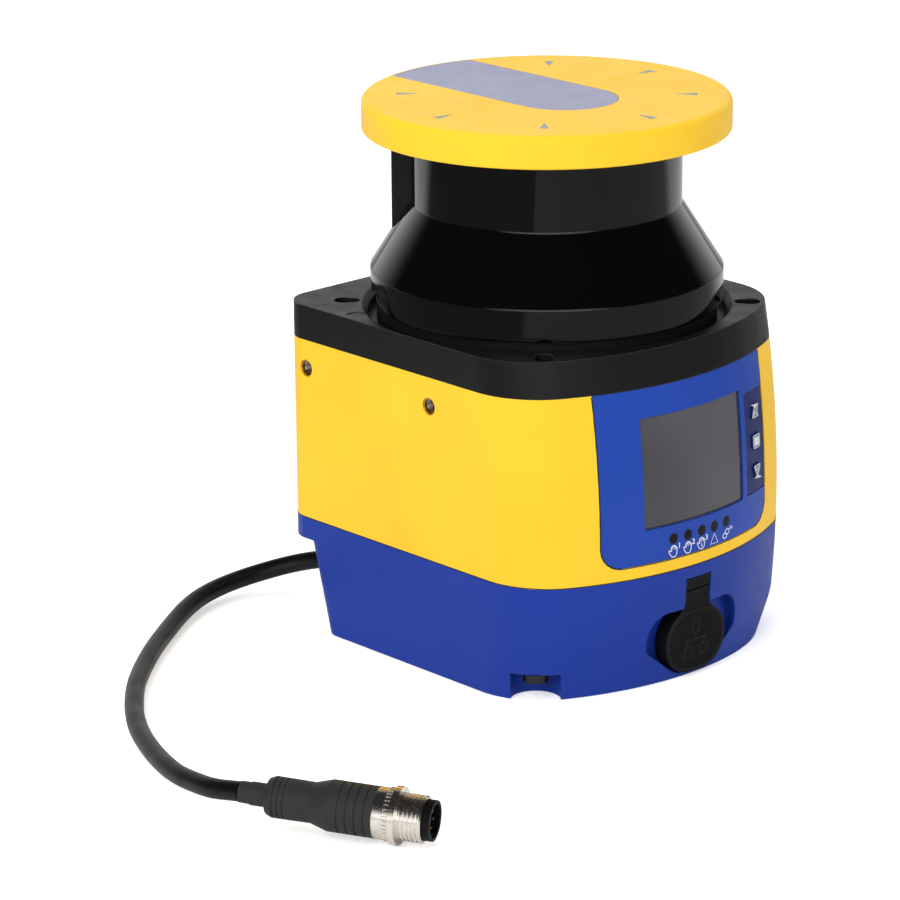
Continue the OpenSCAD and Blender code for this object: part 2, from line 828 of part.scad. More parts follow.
module top_collar() {
    color([0.13, 0.13, 0.14]) difference() {
        union() {
            body(0, collar_z, plate_z);
            at_scan(collar_z) cylinder(r = moat_in, h = curb_z - collar_z);
        }
        at_scan() rotate_extrude($fn = 144) polygon([[moat_in, plate_z + 4], [moat_in, moat_z],
            [moat_out, moat_z], [moat_out, plate_z - dish_bevel], [dish_r + 0.5, plate_z + 0.5],
            [dish_r + 0.5, plate_z + 4]]);
        at_scan(well_z) cylinder(r = well_r, h = far);
        at_scan(collar_z - 1) cylinder(r = motor_r + 0.3, h = far);
        at_scan(curb_z - seal_sunk) ring(seal_out + seat, seal_in - seat, 5);
        for (p = collar_screws_at) translate([p.x, p.y, 0]) {
            translate([0, 0, collar_z - 1]) cylinder(r = collar_screw_r + 0.2, h = 20);
            translate([0, 0, collar_head_z - collar_head_h]) cylinder(r = key_hole_r, h = 20);
            translate([-sign(p.x) * key_lobe_in / sqrt(2), -sign(p.y - scan_y) * key_lobe_in / sqrt(2),
                collar_head_z]) cylinder(r = key_lobe_r, h = 20);
        }
        for (s = [-1, 1]) translate([s * 46.8, scan_y + 26, plate_z - 0.2]) cylinder(r = 2.9, h = 2);
    }
}

module collar_screws() {
    color([0.15, 0.15, 0.16]) for (p = collar_screws_at)
        translate([p.x, p.y, collar_head_z - collar_head_h])
            pan_screw(collar_head_r, collar_head_h, collar_screw_r,
                collar_head_z - collar_head_h - collar_z + 9);
}

module window_seal() {
    color([0.05, 0.05, 0.05]) at_scan(curb_z - seal_sunk)
        ring(seal_out, seal_in, skirt_z - curb_z + seal_sunk);
}

// Takes the rear of a revolved form away, leaving the scanned angle
module rear_sector(half) {
    translate([0, 0, -1]) rotate([0, 0, 90 - half]) rotate_extrude(angle = 2 * half, $fn = 144)
        square([far / 2, far]);
}

// Block behind the skirt's swept rear end
module side_cut(low, grow) {
    translate([-far / 2, 0, 0]) rotate([90, 0, 90]) linear_extrude(far) {
        translate([side_cut_y - grow + side_cut_r, low])
            square([far / 2, side_cut_z + grow - low]);
        translate([side_cut_y - grow, low])
            square([far / 2, side_cut_z + grow - side_cut_r - low]);
        translate([side_cut_y - grow + side_cut_r, side_cut_z + grow - side_cut_r]) circle(r = side_cut_r);
        difference() {
            translate([side_cut_y - grow - 3, low]) square([3 + eps, skirt_z - low + 3]);
            translate([side_cut_y - grow - 3, skirt_z + 3]) circle(r = 3);
        }
    }
}

module scan_window() {
    color([0.06, 0.06, 0.07, 0.9]) difference() {
        at_scan() rotate_extrude($fn = 144) polygon([[flange_in, skirt_z], [skirt_r, skirt_z],
            [skirt_r, cone_z], [throat_r, throat_z], [throat_r, cap_z], [throat_r - window_t, cap_z],
            [throat_r - window_t, throat_z - 0.6], [skirt_r - window_t, cone_z - 0.6],
            [skirt_r - window_t, skirt_z + flange_t], [flange_in, skirt_z + flange_t]]);
        at_scan() rear_sector((360 - scan_angle) / 2);
        side_cut(skirt_z - 5, 0);
    }
}

module rear_post() {
    color([0.09, 0.09, 0.10]) difference() {
        union() {
            at_scan() rotate([0, 0, 90 - post_half]) rotate_extrude(angle = 2 * post_half, $fn = 144)
                polygon([[post_in, skirt_z], [skirt_r, skirt_z], [skirt_r, cone_z],
                    [post_r, cone_z + (skirt_r - post_r) * cone_h / (skirt_r - throat_r)],
                    [post_r, cap_z], [post_in, cap_z]]);
            intersection() {
                at_scan(skirt_z + 0.1) ring(wing_r, wing_r - 2.2, side_cut_z - skirt_z + 1.1);
                translate([-far / 2, side_cut_y + 0.2, 0]) cube([far, far, far]);
            }
        }
        for (a = [-1:1]) at_scan() rotate(a * cap_screw_step)
            translate([0, cap_screw_ring, cap_z - cap_screw_grip - 1])
            cylinder(r = cap_screw_r + run, h = 20);
    }
}

module strip_outline(grow) {
    intersection() {
        at_scan() circle(r = strip_edge + grow, $fn = 144);
        union() {
            translate([-strip_r - grow, scan_y - strip_front]) square([2 * (strip_r + grow), far / 2]);
            translate([0, scan_y - strip_front]) circle(r = strip_r + grow);
        }
    }
}

module top_cap() {
    color([1, 0.82, 0.16]) difference() {
        at_scan(cap_z) rotate_extrude($fn = 144) {
            square([cap_r - cap_edge, cap_h]);
            translate([0, 0.6]) square([cap_r, cap_h - cap_edge - 0.6]);
            square([cap_r - 0.6, cap_h - cap_edge]);
            translate([cap_r - cap_edge, cap_h - cap_edge]) circle(r = cap_edge);
            translate([cap_r - 0.6, 0.6]) circle(r = 0.6);
        }
        difference() {
            at_scan(cap_z - 1) cylinder(r = cap_chamber_r, h = cap_chamber_h + 1);
            for (i = [0:2]) at_scan() rotate(i * 120 + 60) translate([22, 0, cap_z + 3.2])
                cylinder(r = 2.5, h = 5);
        }
        at_scan(cap_z - 1) ring(cap_groove[1], post_r + 0.5, cap_chamber_h + 1);
        translate([0, 0, top_z - strip_t - seat]) linear_extrude(2) strip_outline(seam);
        for (a = [-1:1]) at_scan() rotate(a * cap_screw_step) translate([0, cap_screw_ring, 0]) {
            translate([0, 0, cap_z - 1]) cylinder(r = cap_screw_r + 0.2, h = 20);
            translate([0, 0, top_z - 3.2]) cylinder(r = cap_screw_head_r + 0.2, h = 10);
        }
    }
}

module cap_label_strip() {
    color([0.62, 0.62, 0.74]) translate([0, 0, top_z - strip_t - seat])
        linear_extrude(strip_t) strip_outline(0);
}

module cap_screws() {
    color([0.60, 0.60, 0.62]) for (a = [-1:1]) at_scan() rotate(a * cap_screw_step)
        translate([0, cap_screw_ring, top_z - 3.2])
            pan_screw(cap_screw_head_r, cap_screw_head_h, cap_screw_r, cap_h - 3.2 + cap_screw_grip);
}

// ---------- boards ----------

module io_board() {
    color([0.05, 0.35, 0.20]) difference() {
        translate([-33, -30, io_z]) cube([66, 60, board_t]);
        for (p = board_at) translate([p.x, p.y, io_z - 1]) cylinder(r = stud_r + 0.1, h = 5);
    }
}

module main_board() {
    color([0.05, 0.35, 0.20]) difference() {
        translate([-38, -36, main_z]) cube([76, 80, board_t]);
        for (p = board_at) translate([p.x, p.y, main_z - 1]) cylinder(r = stud_r + 0.1, h = 5);
    }
}

module board_spacers() {
    color([0.80, 0.74, 0.52]) for (p = board_at) translate([p.x, p.y, 0]) difference() {
        union() {
            translate([0, 0, io_z + board_t]) cylinder(r = spacer_r, h = main_z - io_z - board_t, $fn = 6);
            translate([0, 0, floor_t + 1.5]) cylinder(r = stud_r, h = io_z + board_t - floor_t - 1.4);
        }
        translate([0, 0, main_z - 8]) cylinder(r = stud_r + run, h = 10);
    }
}

module board_screws() {
    color([0.75, 0.75, 0.77]) for (p = board_at) translate([p.x, p.y, main_z + board_t])
        pan_screw(2.6, 2, stud_r, board_t + 7);
}

// ---------- motor, spindle and optics ----------

module motor_stator() {
    color([0.55, 0.56, 0.58]) at_scan() difference() {
        union() {
            translate([0, 0, motor_low]) ring(motor_r, motor_r - 1.5, well_z - motor_low);
            translate([0, 0, well_z]) ring(motor_r + 4, motor_r - 1.5, motor_flange);
            translate([0, 0, motor_low]) cylinder(r = motor_r, h = 2);
            translate([0, 0, motor_low]) cylinder(r = motor_tube_r, h = well_z + 3 - motor_low);
            translate([0, 0, motor_low + 5]) cylinder(r = 16.5, h = 14);
        }
        translate([0, 0, motor_low + 3]) cylinder(r = bearing_r + run, h = far);
    }
}

module bearing() {
    difference() {
        ring(bearing_r, spindle_r + run, bearing_h);
        for (z = [-0.5, bearing_h - 0.5]) translate([0, 0, z]) ring(bearing_r - 1.2, spindle_r + 1.2, 1);
    }
}

module spindle_bearings() {
    color([0.78, 0.79, 0.80]) at_scan() {
        translate([0, 0, motor_low + 3]) bearing();
        translate([0, 0, well_z + 3 - bearing_h]) bearing();
    }
}

module spindle_shaft() {
    color([0.82, 0.82, 0.84]) at_scan(motor_low + 3.3)
        cylinder(r = spindle_r, h = carrier_z + 6 - motor_low - 3.3);
}

module rotor_bell() {
    color([0.35, 0.35, 0.38]) at_scan() difference() {
        union() {
            translate([0, 0, bell_z]) cylinder(r = rotor_r, h = 2);
            translate([0, 0, motor_low + 5]) ring(rotor_r, rotor_r - 3, bell_z - motor_low - 5 + eps);
            translate([0, 0, bell_z]) cylinder(r = 7, h = disc_z - bell_z);
        }
        translate([0, 0, bell_z - 1]) cylinder(r = spindle_r, h = 20);
    }
}

module encoder_disc() {
    color([0.50, 0.52, 0.55]) at_scan(disc_z) difference() {
        cylinder(r = disc_r, h = disc_t);
        translate([0, 0, -1]) cylinder(r = spindle_r, h = 5);
        for (i = [0:29]) rotate(i * 12) translate([disc_r - 3.6, -0.5, -1]) cube([2.4, 1, 5]);
    }
}

module encoder_fork() {
    color([0.10, 0.10, 0.11]) at_scan() rotate(-110) difference() {
        translate([-4, disc_r - 5, well_z]) cube([8, 12, disc_z + disc_t + 4 - well_z]);
        translate([-6, disc_r - 6, disc_z - 1]) cube([12, 8, disc_t + 2]);
        translate([-6, disc_r - 6, well_z - 1]) cube([12, 5.2, disc_z - well_z]);
    }
}

// Half-space under the sloping mirror face, raised by lift
module under_slope(lift) {
    translate([0, 0, mirror_z]) rotate([45, 0, 0]) translate([-far / 2, -far / 2, -far + lift])
        cube([far, far, far]);
}

module mirror_carrier() {
    color([0.20, 0.20, 0.22]) at_scan() difference() {
        intersection() {
            translate([0, 0, carrier_z]) cylinder(r = mirror_r, h = mirror_z + mirror_r - carrier_z);
            under_slope(0);
        }
        translate([0, 0, carrier_z - 1]) cylinder(r = spindle_r, h = 7.05);
    }
}

module scan_mirror() {
    color([0.85, 0.87, 0.90]) at_scan() intersection() {
        translate([0, 0, carrier_z]) cylinder(r = mirror_r, h = mirror_z + mirror_r + 8 - carrier_z);
        difference() {
            under_slope(mirror_t);
            under_slope(0);
        }
    }
}

module lens_holder() {
    color([0.12, 0.12, 0.13]) at_scan() {
        translate([0, 0, lens_z - lens_h]) ring(holder_r, lens_r + seat, cap_z - lens_z + lens_h);
        translate([0, 0, lens_z]) ring(lens_r + 1, lens_r - 1.8, 1.5);
        difference() {
            union() {
                translate([0, 0, cap_z - 2.4]) cylinder(r = laser_r + 3, h = 2.4);
                for (i = [0:2]) rotate(i * 120 + 30) translate([laser_r, -1.5, cap_z - 2.4])
                    cube([lens_r - laser_r + 1, 3, 2.4]);
            }
            translate([0, 0, cap_z - 5]) cylinder(r = laser_r + run, h = 10);
        }
    }
}

module receiver_lens() {
    color([0.55, 0.60, 0.65, 0.5]) at_scan() difference() {
        intersection() {
            translate([0, 0, lens_z - lens_h]) cylinder(r = lens_r, h = lens_h);
            translate([0, 0, lens_z - lens_h + 130]) sphere(r = 130, $fn = 144);
        }
        translate([0, 0, lens_z - 10]) cylinder(r = laser_r + 0.3, h = 20);
    }
}

module laser_module() {
    color([0.70, 0.62, 0.35]) at_scan() difference() {
        union() {
            translate([0, 0, lens_z - lens_h - 1]) cylinder(r = laser_r, h = cap_z + 2 - lens_z + lens_h + 1);
            translate([0, 0, cap_z]) cylinder(r = laser_r + 1.5, h = 1.5);
        }
        translate([0, 0, lens_z - lens_h - 2]) cylinder(r = 2, h = 5);
    }
}

module detector_board() {
    color([0.05, 0.35, 0.20]) at_scan(cap_z + 1.5) ring(27, laser_r + run, board_t);
}

// ---------- cable ----------

module at_gland() {
    translate([cable_x, foot_at_cable, cable_z]) rotate([-(90 + foot_lean), 0, 0]) children();
}

module cable_gland() {
    color([0.10, 0.10, 0.11]) at_gland() {
        translate([0, 0, -wall - 2]) cylinder(r = cable_d / 2 + 1.5, h = wall + 2.5);
        cylinder(r = cable_d / 2 + 3.6, h = 2.4, $fn = 6);
        translate([0, 0, 2.4 - eps]) rotate_extrude() polygon([[0, 0], [cable_d / 2 + 2.6, 0],
            [cable_d / 2 + 2.2, 2.2], [cable_d / 2 + 1.4, 3], [cable_d / 2 + 0.5, gland_l - 2.4 + eps],
            [0, gland_l - 2.4 + eps]]);
    }
}

// Catmull-Rom curve through the route
function spline(p, i, t) = let (a = p[i - 1], b = p[i], c = p[i + 1], d = p[i + 2])
    0.5 * (2 * b + (c - a) * t + (2 * a - 5 * b + 4 * c - d) * t * t + (3 * b - a - 3 * c + d) * t * t * t);
cable_pts = concat([for (i = [1:len(route) - 3], t = [0, 0.5]) spline(route, i, t)], [plug_start]);
function unit(v) = v / norm(v);
function tangent(p, i) = i == 0 ? gland_dir : i == len(p) - 1 ? plug_dir : unit(p[i + 1] - p[i - 1]);
// Ring of points round the path, square to it, with its first point kept level
function path_ring(p, i, r, n) = let (t = tangent(p, i), side = unit(cross(t, [0, 0, 1])),
    up = cross(side, t)) [for (k = [0:n - 1]) p[i] + r * (cos(360 * k / n) * side + sin(360 * k / n) * up)];

module tube(p, r, n) {
    rings = [for (i = [0:len(p) - 1]) each path_ring(p, i, r, n)];
    last = (len(p) - 1) * n;
    faces = concat([[for (k = [0:n - 1]) k]], [[for (k = [n - 1:-1:0]) last + k]],
        [for (i = [0:len(p) - 2], k = [0:n - 1]) let (a = i * n, m = (k + 1) % n)
            [a + k, a + n + k, a + n + m, a + m]]);
    polyhedron(points = rings, faces = faces, convexity = 10);
}

module cable() {
    color([0.07, 0.07, 0.08]) tube(cable_pts, cable_d / 2, cable_sides);
}

// ---------- connector ----------

module at_plug() {
    translate(plug_start) rotate([0, 0, plug_turn]) rotate([0, 90 - plug_tilt, 0]) children();
}

module cable_sleeve() {
    r = cable_d / 2;
    color([0.09, 0.09, 0.10]) at_plug() rotate_extrude() polygon([[0, 0], [r + 0.15, 0], [r + 0.2, 2.6],
        [r + 0.4, 3], [r + 0.4, sleeve_l], [0, sleeve_l]]);
}

module connector_body() {
    grip = drum_l + taper_l;
    color([0.09, 0.09, 0.10]) at_plug() translate([0, 0, sleeve_l]) difference() {
        rotate_extrude() polygon([[0, 0], [drum_r - 2, 0], [drum_r - 0.6, 0.7], [drum_r, 2.1],
            [drum_r - 0.1, drum_l], [grip_r, grip], [grip_r, grip + grip_l], [0, grip + grip_l]]);
        for (z = [2.7, 4.1, 5.5]) translate([0, 0, z]) ring(drum_r + 1, drum_r - 0.3, 0.5);
        for (i = [0:3]) translate([0, 0, grip + 3.2 + i * 2.3]) ring(grip_r + 1, grip_r - 0.3, 0.6);
    }
}

module coupling_ring() {
    lip = collar_l + knurl_l;
    thread = lip + lip_l;
    color([0.78, 0.78, 0.80]) at_plug() translate([0, 0, grip_end + 0.1]) difference() {
        rotate_extrude() polygon([[core_r + 0.08, 0], [grip_r, 0], [grip_r, collar_l],
            [grip_r + 0.25, collar_l], [grip_r + 0.25, lip], [lip_r, lip], [lip_r, thread], [plug_r, thread],
            [plug_r, thread + plug_l - 0.4], [plug_r - 0.4, thread + plug_l],
            [core_r + 0.08, thread + plug_l]]);
        for (i = [0:35]) rotate(i * 10) translate([grip_r, -0.3, collar_l + 0.15])
            cube([0.8, 0.6, knurl_l - 0.3]);
        for (i = [0:4]) translate([0, 0, thread + 0.7 + i * 1.1]) ring(plug_r + 1, plug_r - 0.35, 0.5);
    }
}

module connector_insert() {
    color([0.06, 0.06, 0.07]) at_plug() difference() {
        translate([0, 0, grip_end]) cylinder(r = core_r, h = insert_end - grip_end);
        difference() {
            translate([0, 0, insert_end - 5.5]) cylinder(r = core_r - 0.8, h = 10);
            translate([core_r - 1.5, -0.6, insert_end - 6]) cube([2, 1.2, 5.2]);
        }
        translate([0, 0, insert_end - 8]) pins_at() cylinder(r = 0.42, h = 4);
    }
}

module pins_at() {
    for (i = [0:pin_count - 1]) rotate((i + 0.5) * 360 / pin_count) translate([2.75, 0, 0]) children();
    children();
}

module connector_pins() {
    color([0.83, 0.66, 0.30]) at_plug() translate([0, 0, insert_end - 7.9]) pins_at()
        cylinder(r = 0.4, h = 6.6);
}

base_block();
main_housing();
top_collar();
scan_window();
rear_post();
top_cap();
cap_label_strip();
front_panel();
display_cover();
button_strip();
up_button();
select_button();
down_button();
status_lights();
dust_cap();
side_inserts();
base_screws();
collar_screws();
cap_screws();
window_seal();
base_gasket();
service_socket();
service_insert();
service_contacts();
display_module();
display_board();
key_switches();
main_board();
io_board();
board_spacers();
board_screws();
motor_stator();
spindle_bearings();
spindle_shaft();
rotor_bell();
encoder_disc();
encoder_fork();
mirror_carrier();
scan_mirror();
lens_holder();
receiver_lens();
laser_module();
detector_board();
cable_gland();
cable();
cable_sleeve();
connector_body();
coupling_ring();
connector_insert();
connector_pins();
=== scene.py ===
# %% [markdown]
# # A safety laser scanner, finished in Blender
#
# The scanner is a small guard for machines: a spinning mirror behind a dark window looks round the
# floor for people. Its solids are ready and fixed. This lesson gives them their finishes and adds
# the prints, marks and threads that a solid model leaves out. Lengths are written in millimetres
# and turned into metres where Blender needs them.

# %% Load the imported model
import json
import math

import bmesh
import bpy
from mathutils import Matrix, Vector


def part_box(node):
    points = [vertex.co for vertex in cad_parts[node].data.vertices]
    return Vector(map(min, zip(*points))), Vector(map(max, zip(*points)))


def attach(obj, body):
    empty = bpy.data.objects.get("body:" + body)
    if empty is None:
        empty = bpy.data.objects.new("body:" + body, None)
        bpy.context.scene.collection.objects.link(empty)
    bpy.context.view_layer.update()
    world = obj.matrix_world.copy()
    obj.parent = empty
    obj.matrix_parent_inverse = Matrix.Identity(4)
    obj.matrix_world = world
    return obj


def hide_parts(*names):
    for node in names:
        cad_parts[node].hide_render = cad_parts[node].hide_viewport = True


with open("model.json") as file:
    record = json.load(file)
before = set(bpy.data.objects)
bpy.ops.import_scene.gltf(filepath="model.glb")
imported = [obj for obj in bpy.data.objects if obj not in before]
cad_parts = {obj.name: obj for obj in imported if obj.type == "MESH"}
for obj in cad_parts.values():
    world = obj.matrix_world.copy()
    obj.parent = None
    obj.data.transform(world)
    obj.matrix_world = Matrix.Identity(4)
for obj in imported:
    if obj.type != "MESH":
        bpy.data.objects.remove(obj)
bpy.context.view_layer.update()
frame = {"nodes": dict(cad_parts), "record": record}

mm = 0.001
nodes = frame["nodes"]

# %% [markdown]
# ## Camera
#
# The camera stands in front and to the left, a little above the scanner, with a long lens so that
# upright edges stay nearly parallel. It could be aimed with a constraint, but a matrix built from
# three directions, right, up and back, says exactly where it stands and how it is turned.

# %% Set up the camera
turn, rise, roll = math.radians(-42.65), math.radians(17.8), math.radians(-0.45)
distance = 1132.6
aim, aim_right, aim_up = Vector((0, 3.15, 80)), -26.74, -27.95
back = Vector((math.sin(turn) * math.cos(rise), -math.cos(turn) * math.cos(rise), math.sin(rise)))
right = Vector((math.cos(turn), math.sin(turn), 0))
up = back.cross(right)
level, right = right, right * math.cos(roll) + up * math.sin(roll)
up = up * math.cos(roll) - level * math.sin(roll)
stand = aim + aim_right * right + aim_up * up + distance * back

bpy.ops.object.camera_add(location=stand * mm)
camera = bpy.context.object
camera.name = "camera"
camera.data.sensor_width = 36
camera.data.lens = 164
camera.matrix_world = Matrix.Translation(stand * mm) @ Matrix((right, up, back)).transposed().to_4x4()
bpy.context.scene.camera = camera
bpy.context.scene.view_settings.view_transform = "Standard"
print("camera stands at", [round(v, 3) for v in camera.location])

# %% [markdown]
# ## Cable
#
# The pigtail is one round cable, 5.2 mm thick, that leaves the recessed rear face square to it, swings
# down in a wide bend and lies along the floor until its stiffness lifts it into the connector. A tube
# could be swept in mesh code. A curve with a round bevel is simpler and stays perfectly round, so the
# route is drawn as a few points and a smooth line is laid through them. The bevel is a circle of radius
# 1 and each point's own radius gives the thickness, because a curve's box is measured with that radius.

# %% Lay the cable along its route
cable_d = 5.2
lean = math.radians(15.3)
rear_foot_y, outlet_x, outlet_z, gland_len = 40.95, -26.5, 15, 7
outlet = Vector((outlet_x, rear_foot_y + outlet_z * math.tan(lean), outlet_z))
gland_dir = Vector((0, math.cos(lean), -math.sin(lean)))
gland_end = outlet + gland_len * gland_dir

plug_turn, plug_tilt = math.radians(-60.5), math.radians(-2)
plug_start = Vector((-156.4, -49.3, 8.75))
plug_dir = Vector((math.cos(plug_tilt) * math.cos(plug_turn),
                   math.cos(plug_tilt) * math.sin(plug_turn), math.sin(plug_tilt)))

way = [(-27.9, 59.9, 11.3), (-30.9, 67.2, 9.6), (-35.4, 72.9, 7.9), (-41.4, 77, 6.3),
       (-48.5, 79.2, 5.2), (-56.2, 79.5, 4.5), (-64.3, 77.9, 4), (-72.4, 74.6, 3.5),
       (-80.5, 69.9, 3), (-88.6, 64.4, 2.8), (-96.7, 58.5, 2.8), (-104.7, 52.1, 2.8),
       (-112.5, 45.3, 2.8), (-120, 38.1, 2.8), (-126.8, 30.3, 2.8), (-133.2, 22.1, 2.8),
       (-138.9, 13.5, 3), (-143.9, 4.5, 3.4), (-148.3, -4.6, 3.9), (-152.2, -13.8, 4.6),
       (-155.4, -23, 5.4), (-157.2, -31.5, 6.4), (-158.2, -40.7, 7.6)]
steer_in, steer_out = 8, 9
route = ([gland_end - steer_in * gland_dir, gland_end] + [Vector(p) for p in way]
         + [plug_start, plug_start + steer_out * plug_dir])


def smooth_line(points, steps):
    """A line through the points, with its first and last point only steering it."""
    line = []
    for a, b, c, d in zip(points, points[1:], points[2:], points[3:]):
        for k in range(steps):
            t = k / steps
            line.append(0.5 * (2 * b + (c - a) * t + (2 * a - 5 * b + 4 * c - d) * t * t
                               + (3 * b - a - 3 * c + d) * t ** 3))
    return line + [points[-2]]


centre_line = smooth_line(route, steps=5)

drawing = bpy.data.curves.new("cable_jacket", "CURVE")
drawing.dimensions = "3D"
drawing.bevel_depth = 1
drawing.bevel_resolution = 6
drawing.use_fill_caps = True
spline = drawing.splines.new("POLY")
spline.points.add(len(centre_line) - 1)
for point, place in zip(spline.points, centre_line):
    point.co = (*(place * mm), 1)
    point.radius = cable_d / 2 * mm
cable = bpy.data.objects.new("cable_jacket", drawing)
bpy.context.scene.collection.objects.link(cable)
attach(cable, "body")
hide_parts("cable")

# %% [markdown]
# ## Studio
#
# The scanner stands on a pale floor in front of white. The lamps are kept low enough that a colour
# shows about as it is written, and they don't show in gloss themselves. The white comes from the
# world and the floor as the camera, gloss and glass see them, so it adds no light to the yellow and
# blue. Towards the camera's side the room is dark in reflections, as it is behind a real camera, and
# that keeps the window deep black.

# %% Light the scene
def area_lamp(name, place, aim, width, height, watts):
    """A soft box that looks from place to aim, all in millimetres, and doesn't show in gloss."""
    bpy.ops.object.light_add(type="AREA", location=Vector(place) * mm)
    lamp = bpy.context.object
    lamp.name = name
    lamp.data.shape = "RECTANGLE"
    lamp.data.size, lamp.data.size_y = width * mm, height * mm
    lamp.data.energy = watts
    lamp.rotation_euler = (Vector(aim) - Vector(place)).to_track_quat("-Z", "Y").to_euler()
    lamp.visible_glossy = False
    return lamp


middle = (0, 0, 70)
area_lamp("key_lamp", (-1150, -350, 750), middle, 700, 900, 13)
area_lamp("fill_lamp", (650, -1150, 520), middle, 600, 900, 5.5)
area_lamp("top_lamp", (150, 500, 1300), middle, 1200, 700, 6.6)

print("three lamps")

# %% Helpers that join shader nodes
def feed(tree, socket, value):
    """Give a socket a number, or link another socket to it."""
    if isinstance(value, (int, float)):
        socket.default_value = value
    else:
        tree.links.new(value, socket)


def maths(tree, operation, first, second):
    """Two values, each a number or a socket, put through one operation."""
    sum_node = tree.nodes.new("ShaderNodeMath")
    sum_node.operation = operation
    feed(tree, sum_node.inputs[0], first)
    feed(tree, sum_node.inputs[1], second)
    return sum_node.outputs[0]


def along(tree, vector, direction):
    """How far a vector reaches along a direction."""
    dot = tree.nodes.new("ShaderNodeVectorMath")
    dot.operation = "DOT_PRODUCT"
    dot.inputs[1].default_value = direction
    tree.links.new(vector, dot.inputs[0])
    return dot.outputs["Value"]


def eased(tree, value, start, end, low=0, high=1):
    """Low below start and high past end, with a smooth change between them."""
    step = tree.nodes.new("ShaderNodeMapRange")
    step.interpolation_type = "SMOOTHSTEP"
    for socket, number in zip(("From Min", "From Max", "To Min", "To Max"), (start, end, low, high)):
        step.inputs[socket].default_value = number
    tree.links.new(value, step.inputs["Value"])
    return step.outputs["Result"]


def mixed(tree, share, first, second):
    """A shader that goes from first to second as share goes from 0 to 1."""
    mix = tree.nodes.new("ShaderNodeMixShader")
    for socket, value in zip(mix.inputs, (share, first, second)):
        tree.links.new(value, socket)
    return mix.outputs[0]


def white_room(tree, strength):
    """A white background."""
    room = tree.nodes.new("ShaderNodeBackground")
    room.inputs["Color"].default_value = (1, 1, 1, 1)
    feed(tree, room.inputs["Strength"], strength)
    return room.outputs[0]


print("node helpers ready")

# %% Build the room round the scanner
world = bpy.data.worlds.new("studio")
bpy.context.scene.world = world
world.use_nodes = True
tree = world.node_tree
tree.nodes.clear()
look = tree.nodes.new("ShaderNodeTexCoord").outputs["Generated"]
level_back = Vector((back.x, back.y, 0)).normalized()
far_side = eased(tree, along(tree, look, -back), 0.3, 0.85, 0.02, 1.0)
camera_side = eased(tree, along(tree, look, level_back), 0.70, 0.86, 0.0, 1.9)
path = tree.nodes.new("ShaderNodeLightPath")
sheen = maths(tree, "MAXIMUM", path.outputs["Is Glossy Ray"], path.outputs["Is Transmission Ray"])
reflected = white_room(tree, maths(tree, "MAXIMUM", far_side, camera_side))
lit = mixed(tree, sheen, white_room(tree, 0.42), reflected)
out = tree.nodes.new("ShaderNodeOutputWorld")
tree.links.new(mixed(tree, path.outputs["Is Camera Ray"], lit, white_room(tree, 1)), out.inputs["Surface"])
print("a white room")

# %% [markdown]
# The floor is one large plane. It is nearly white paint, and it glows a little for the camera only, so
# that it meets the white behind it without an edge and still keeps the soft shadow under the scanner.
# In gloss it is a grey floor, darker to the left, as if a dark screen stood there: polished black plastic
# looks black only if what it mirrors is dark, and a step from dark to grey shows that it is polished.

# %% Lay the floor
bpy.ops.mesh.primitive_plane_add(size=12, location=(0, 0, -0.0002))
floor = bpy.context.object
floor.name = "floor"
paint = bpy.data.materials.new("pale_floor")
paint.use_nodes = True
tree = paint.node_tree
paint_shader = tree.nodes["Principled BSDF"]
paint_shader.inputs["Roughness"].default_value = 0.9
paint_shader.inputs["Specular IOR Level"].default_value = 0.1
paint_shader.inputs["Emission Color"].default_value = (1, 1, 1, 1)
path = tree.nodes.new("ShaderNodeLightPath")
where = tree.nodes.new("ShaderNodeTexCoord").outputs["Object"]
white = 0.86
screen = eased(tree, along(tree, where, level), -0.115, -0.1, 0.09, 0.27)
reach = tree.nodes.new("ShaderNodeVectorMath")
reach.operation = "LENGTH"
tree.links.new(where, reach.inputs[0])
zone = maths(tree, "MULTIPLY", eased(tree, reach.outputs["Value"], 0.24, 0.33),
             eased(tree, along(tree, where, level_back), -0.33, -0.2))
grey = tree.nodes.new("ShaderNodeMix")
grey.inputs["A"].default_value = white
tree.links.new(zone, grey.inputs["Factor"])
tree.links.new(screen, grey.inputs["B"])
paint_colour = tree.nodes.new("ShaderNodeMix")
paint_colour.inputs["A"].default_value = white
tree.links.new(path.outputs["Is Glossy Ray"], paint_colour.inputs["Factor"])
tree.links.new(grey.outputs["Result"], paint_colour.inputs["B"])
tree.links.new(paint_colour.outputs["Result"], paint_shader.inputs["Base Color"])
glow = maths(tree, "MULTIPLY", path.outputs["Is Camera Ray"], 0.5)
tree.links.new(glow, paint_shader.inputs["Emission Strength"])
floor.data.materials.append(paint)
print("floor laid")

# %% [markdown]
# ## Moulded plastics and rubber
#
# Most of the scanner is injection moulded. Such a part has one colour that drifts a little where the
# melt cooled, a fine spark-eroded grain from the mould, and edges that are never quite sharp. The grain
# is a bump from small noise, the drift is large noise, and the soft edges are a rounded normal, which
# also finds the edges, so that a painted highlight can make them a little lighter.

# %% A finish for moulded parts
for plain_colour in list(bpy.data.materials):
    if plain_colour.name != "pale_floor":
        bpy.data.materials.remove(plain_colour)


def node_tree(name):
    """A new material with its principled shader, as (material, tree, shader)."""
    material = bpy.data.materials.new(name)
    material.use_nodes = True
    return material, material.node_tree, material.node_tree.nodes["Principled BSDF"]


def noise(tree, size, detail=2.0):
    """Noise on object coordinates whose lumps are about size millimetres across."""
    coords = tree.nodes.new("ShaderNodeTexCoord")
    lumps = tree.nodes.new("ShaderNodeTexNoise")
    lumps.inputs["Scale"].default_value = 1000 / size
    lumps.inputs["Detail"].default_value = detail
    tree.links.new(coords.outputs["Object"], lumps.inputs["Vector"])
    return lumps.outputs["Fac"]


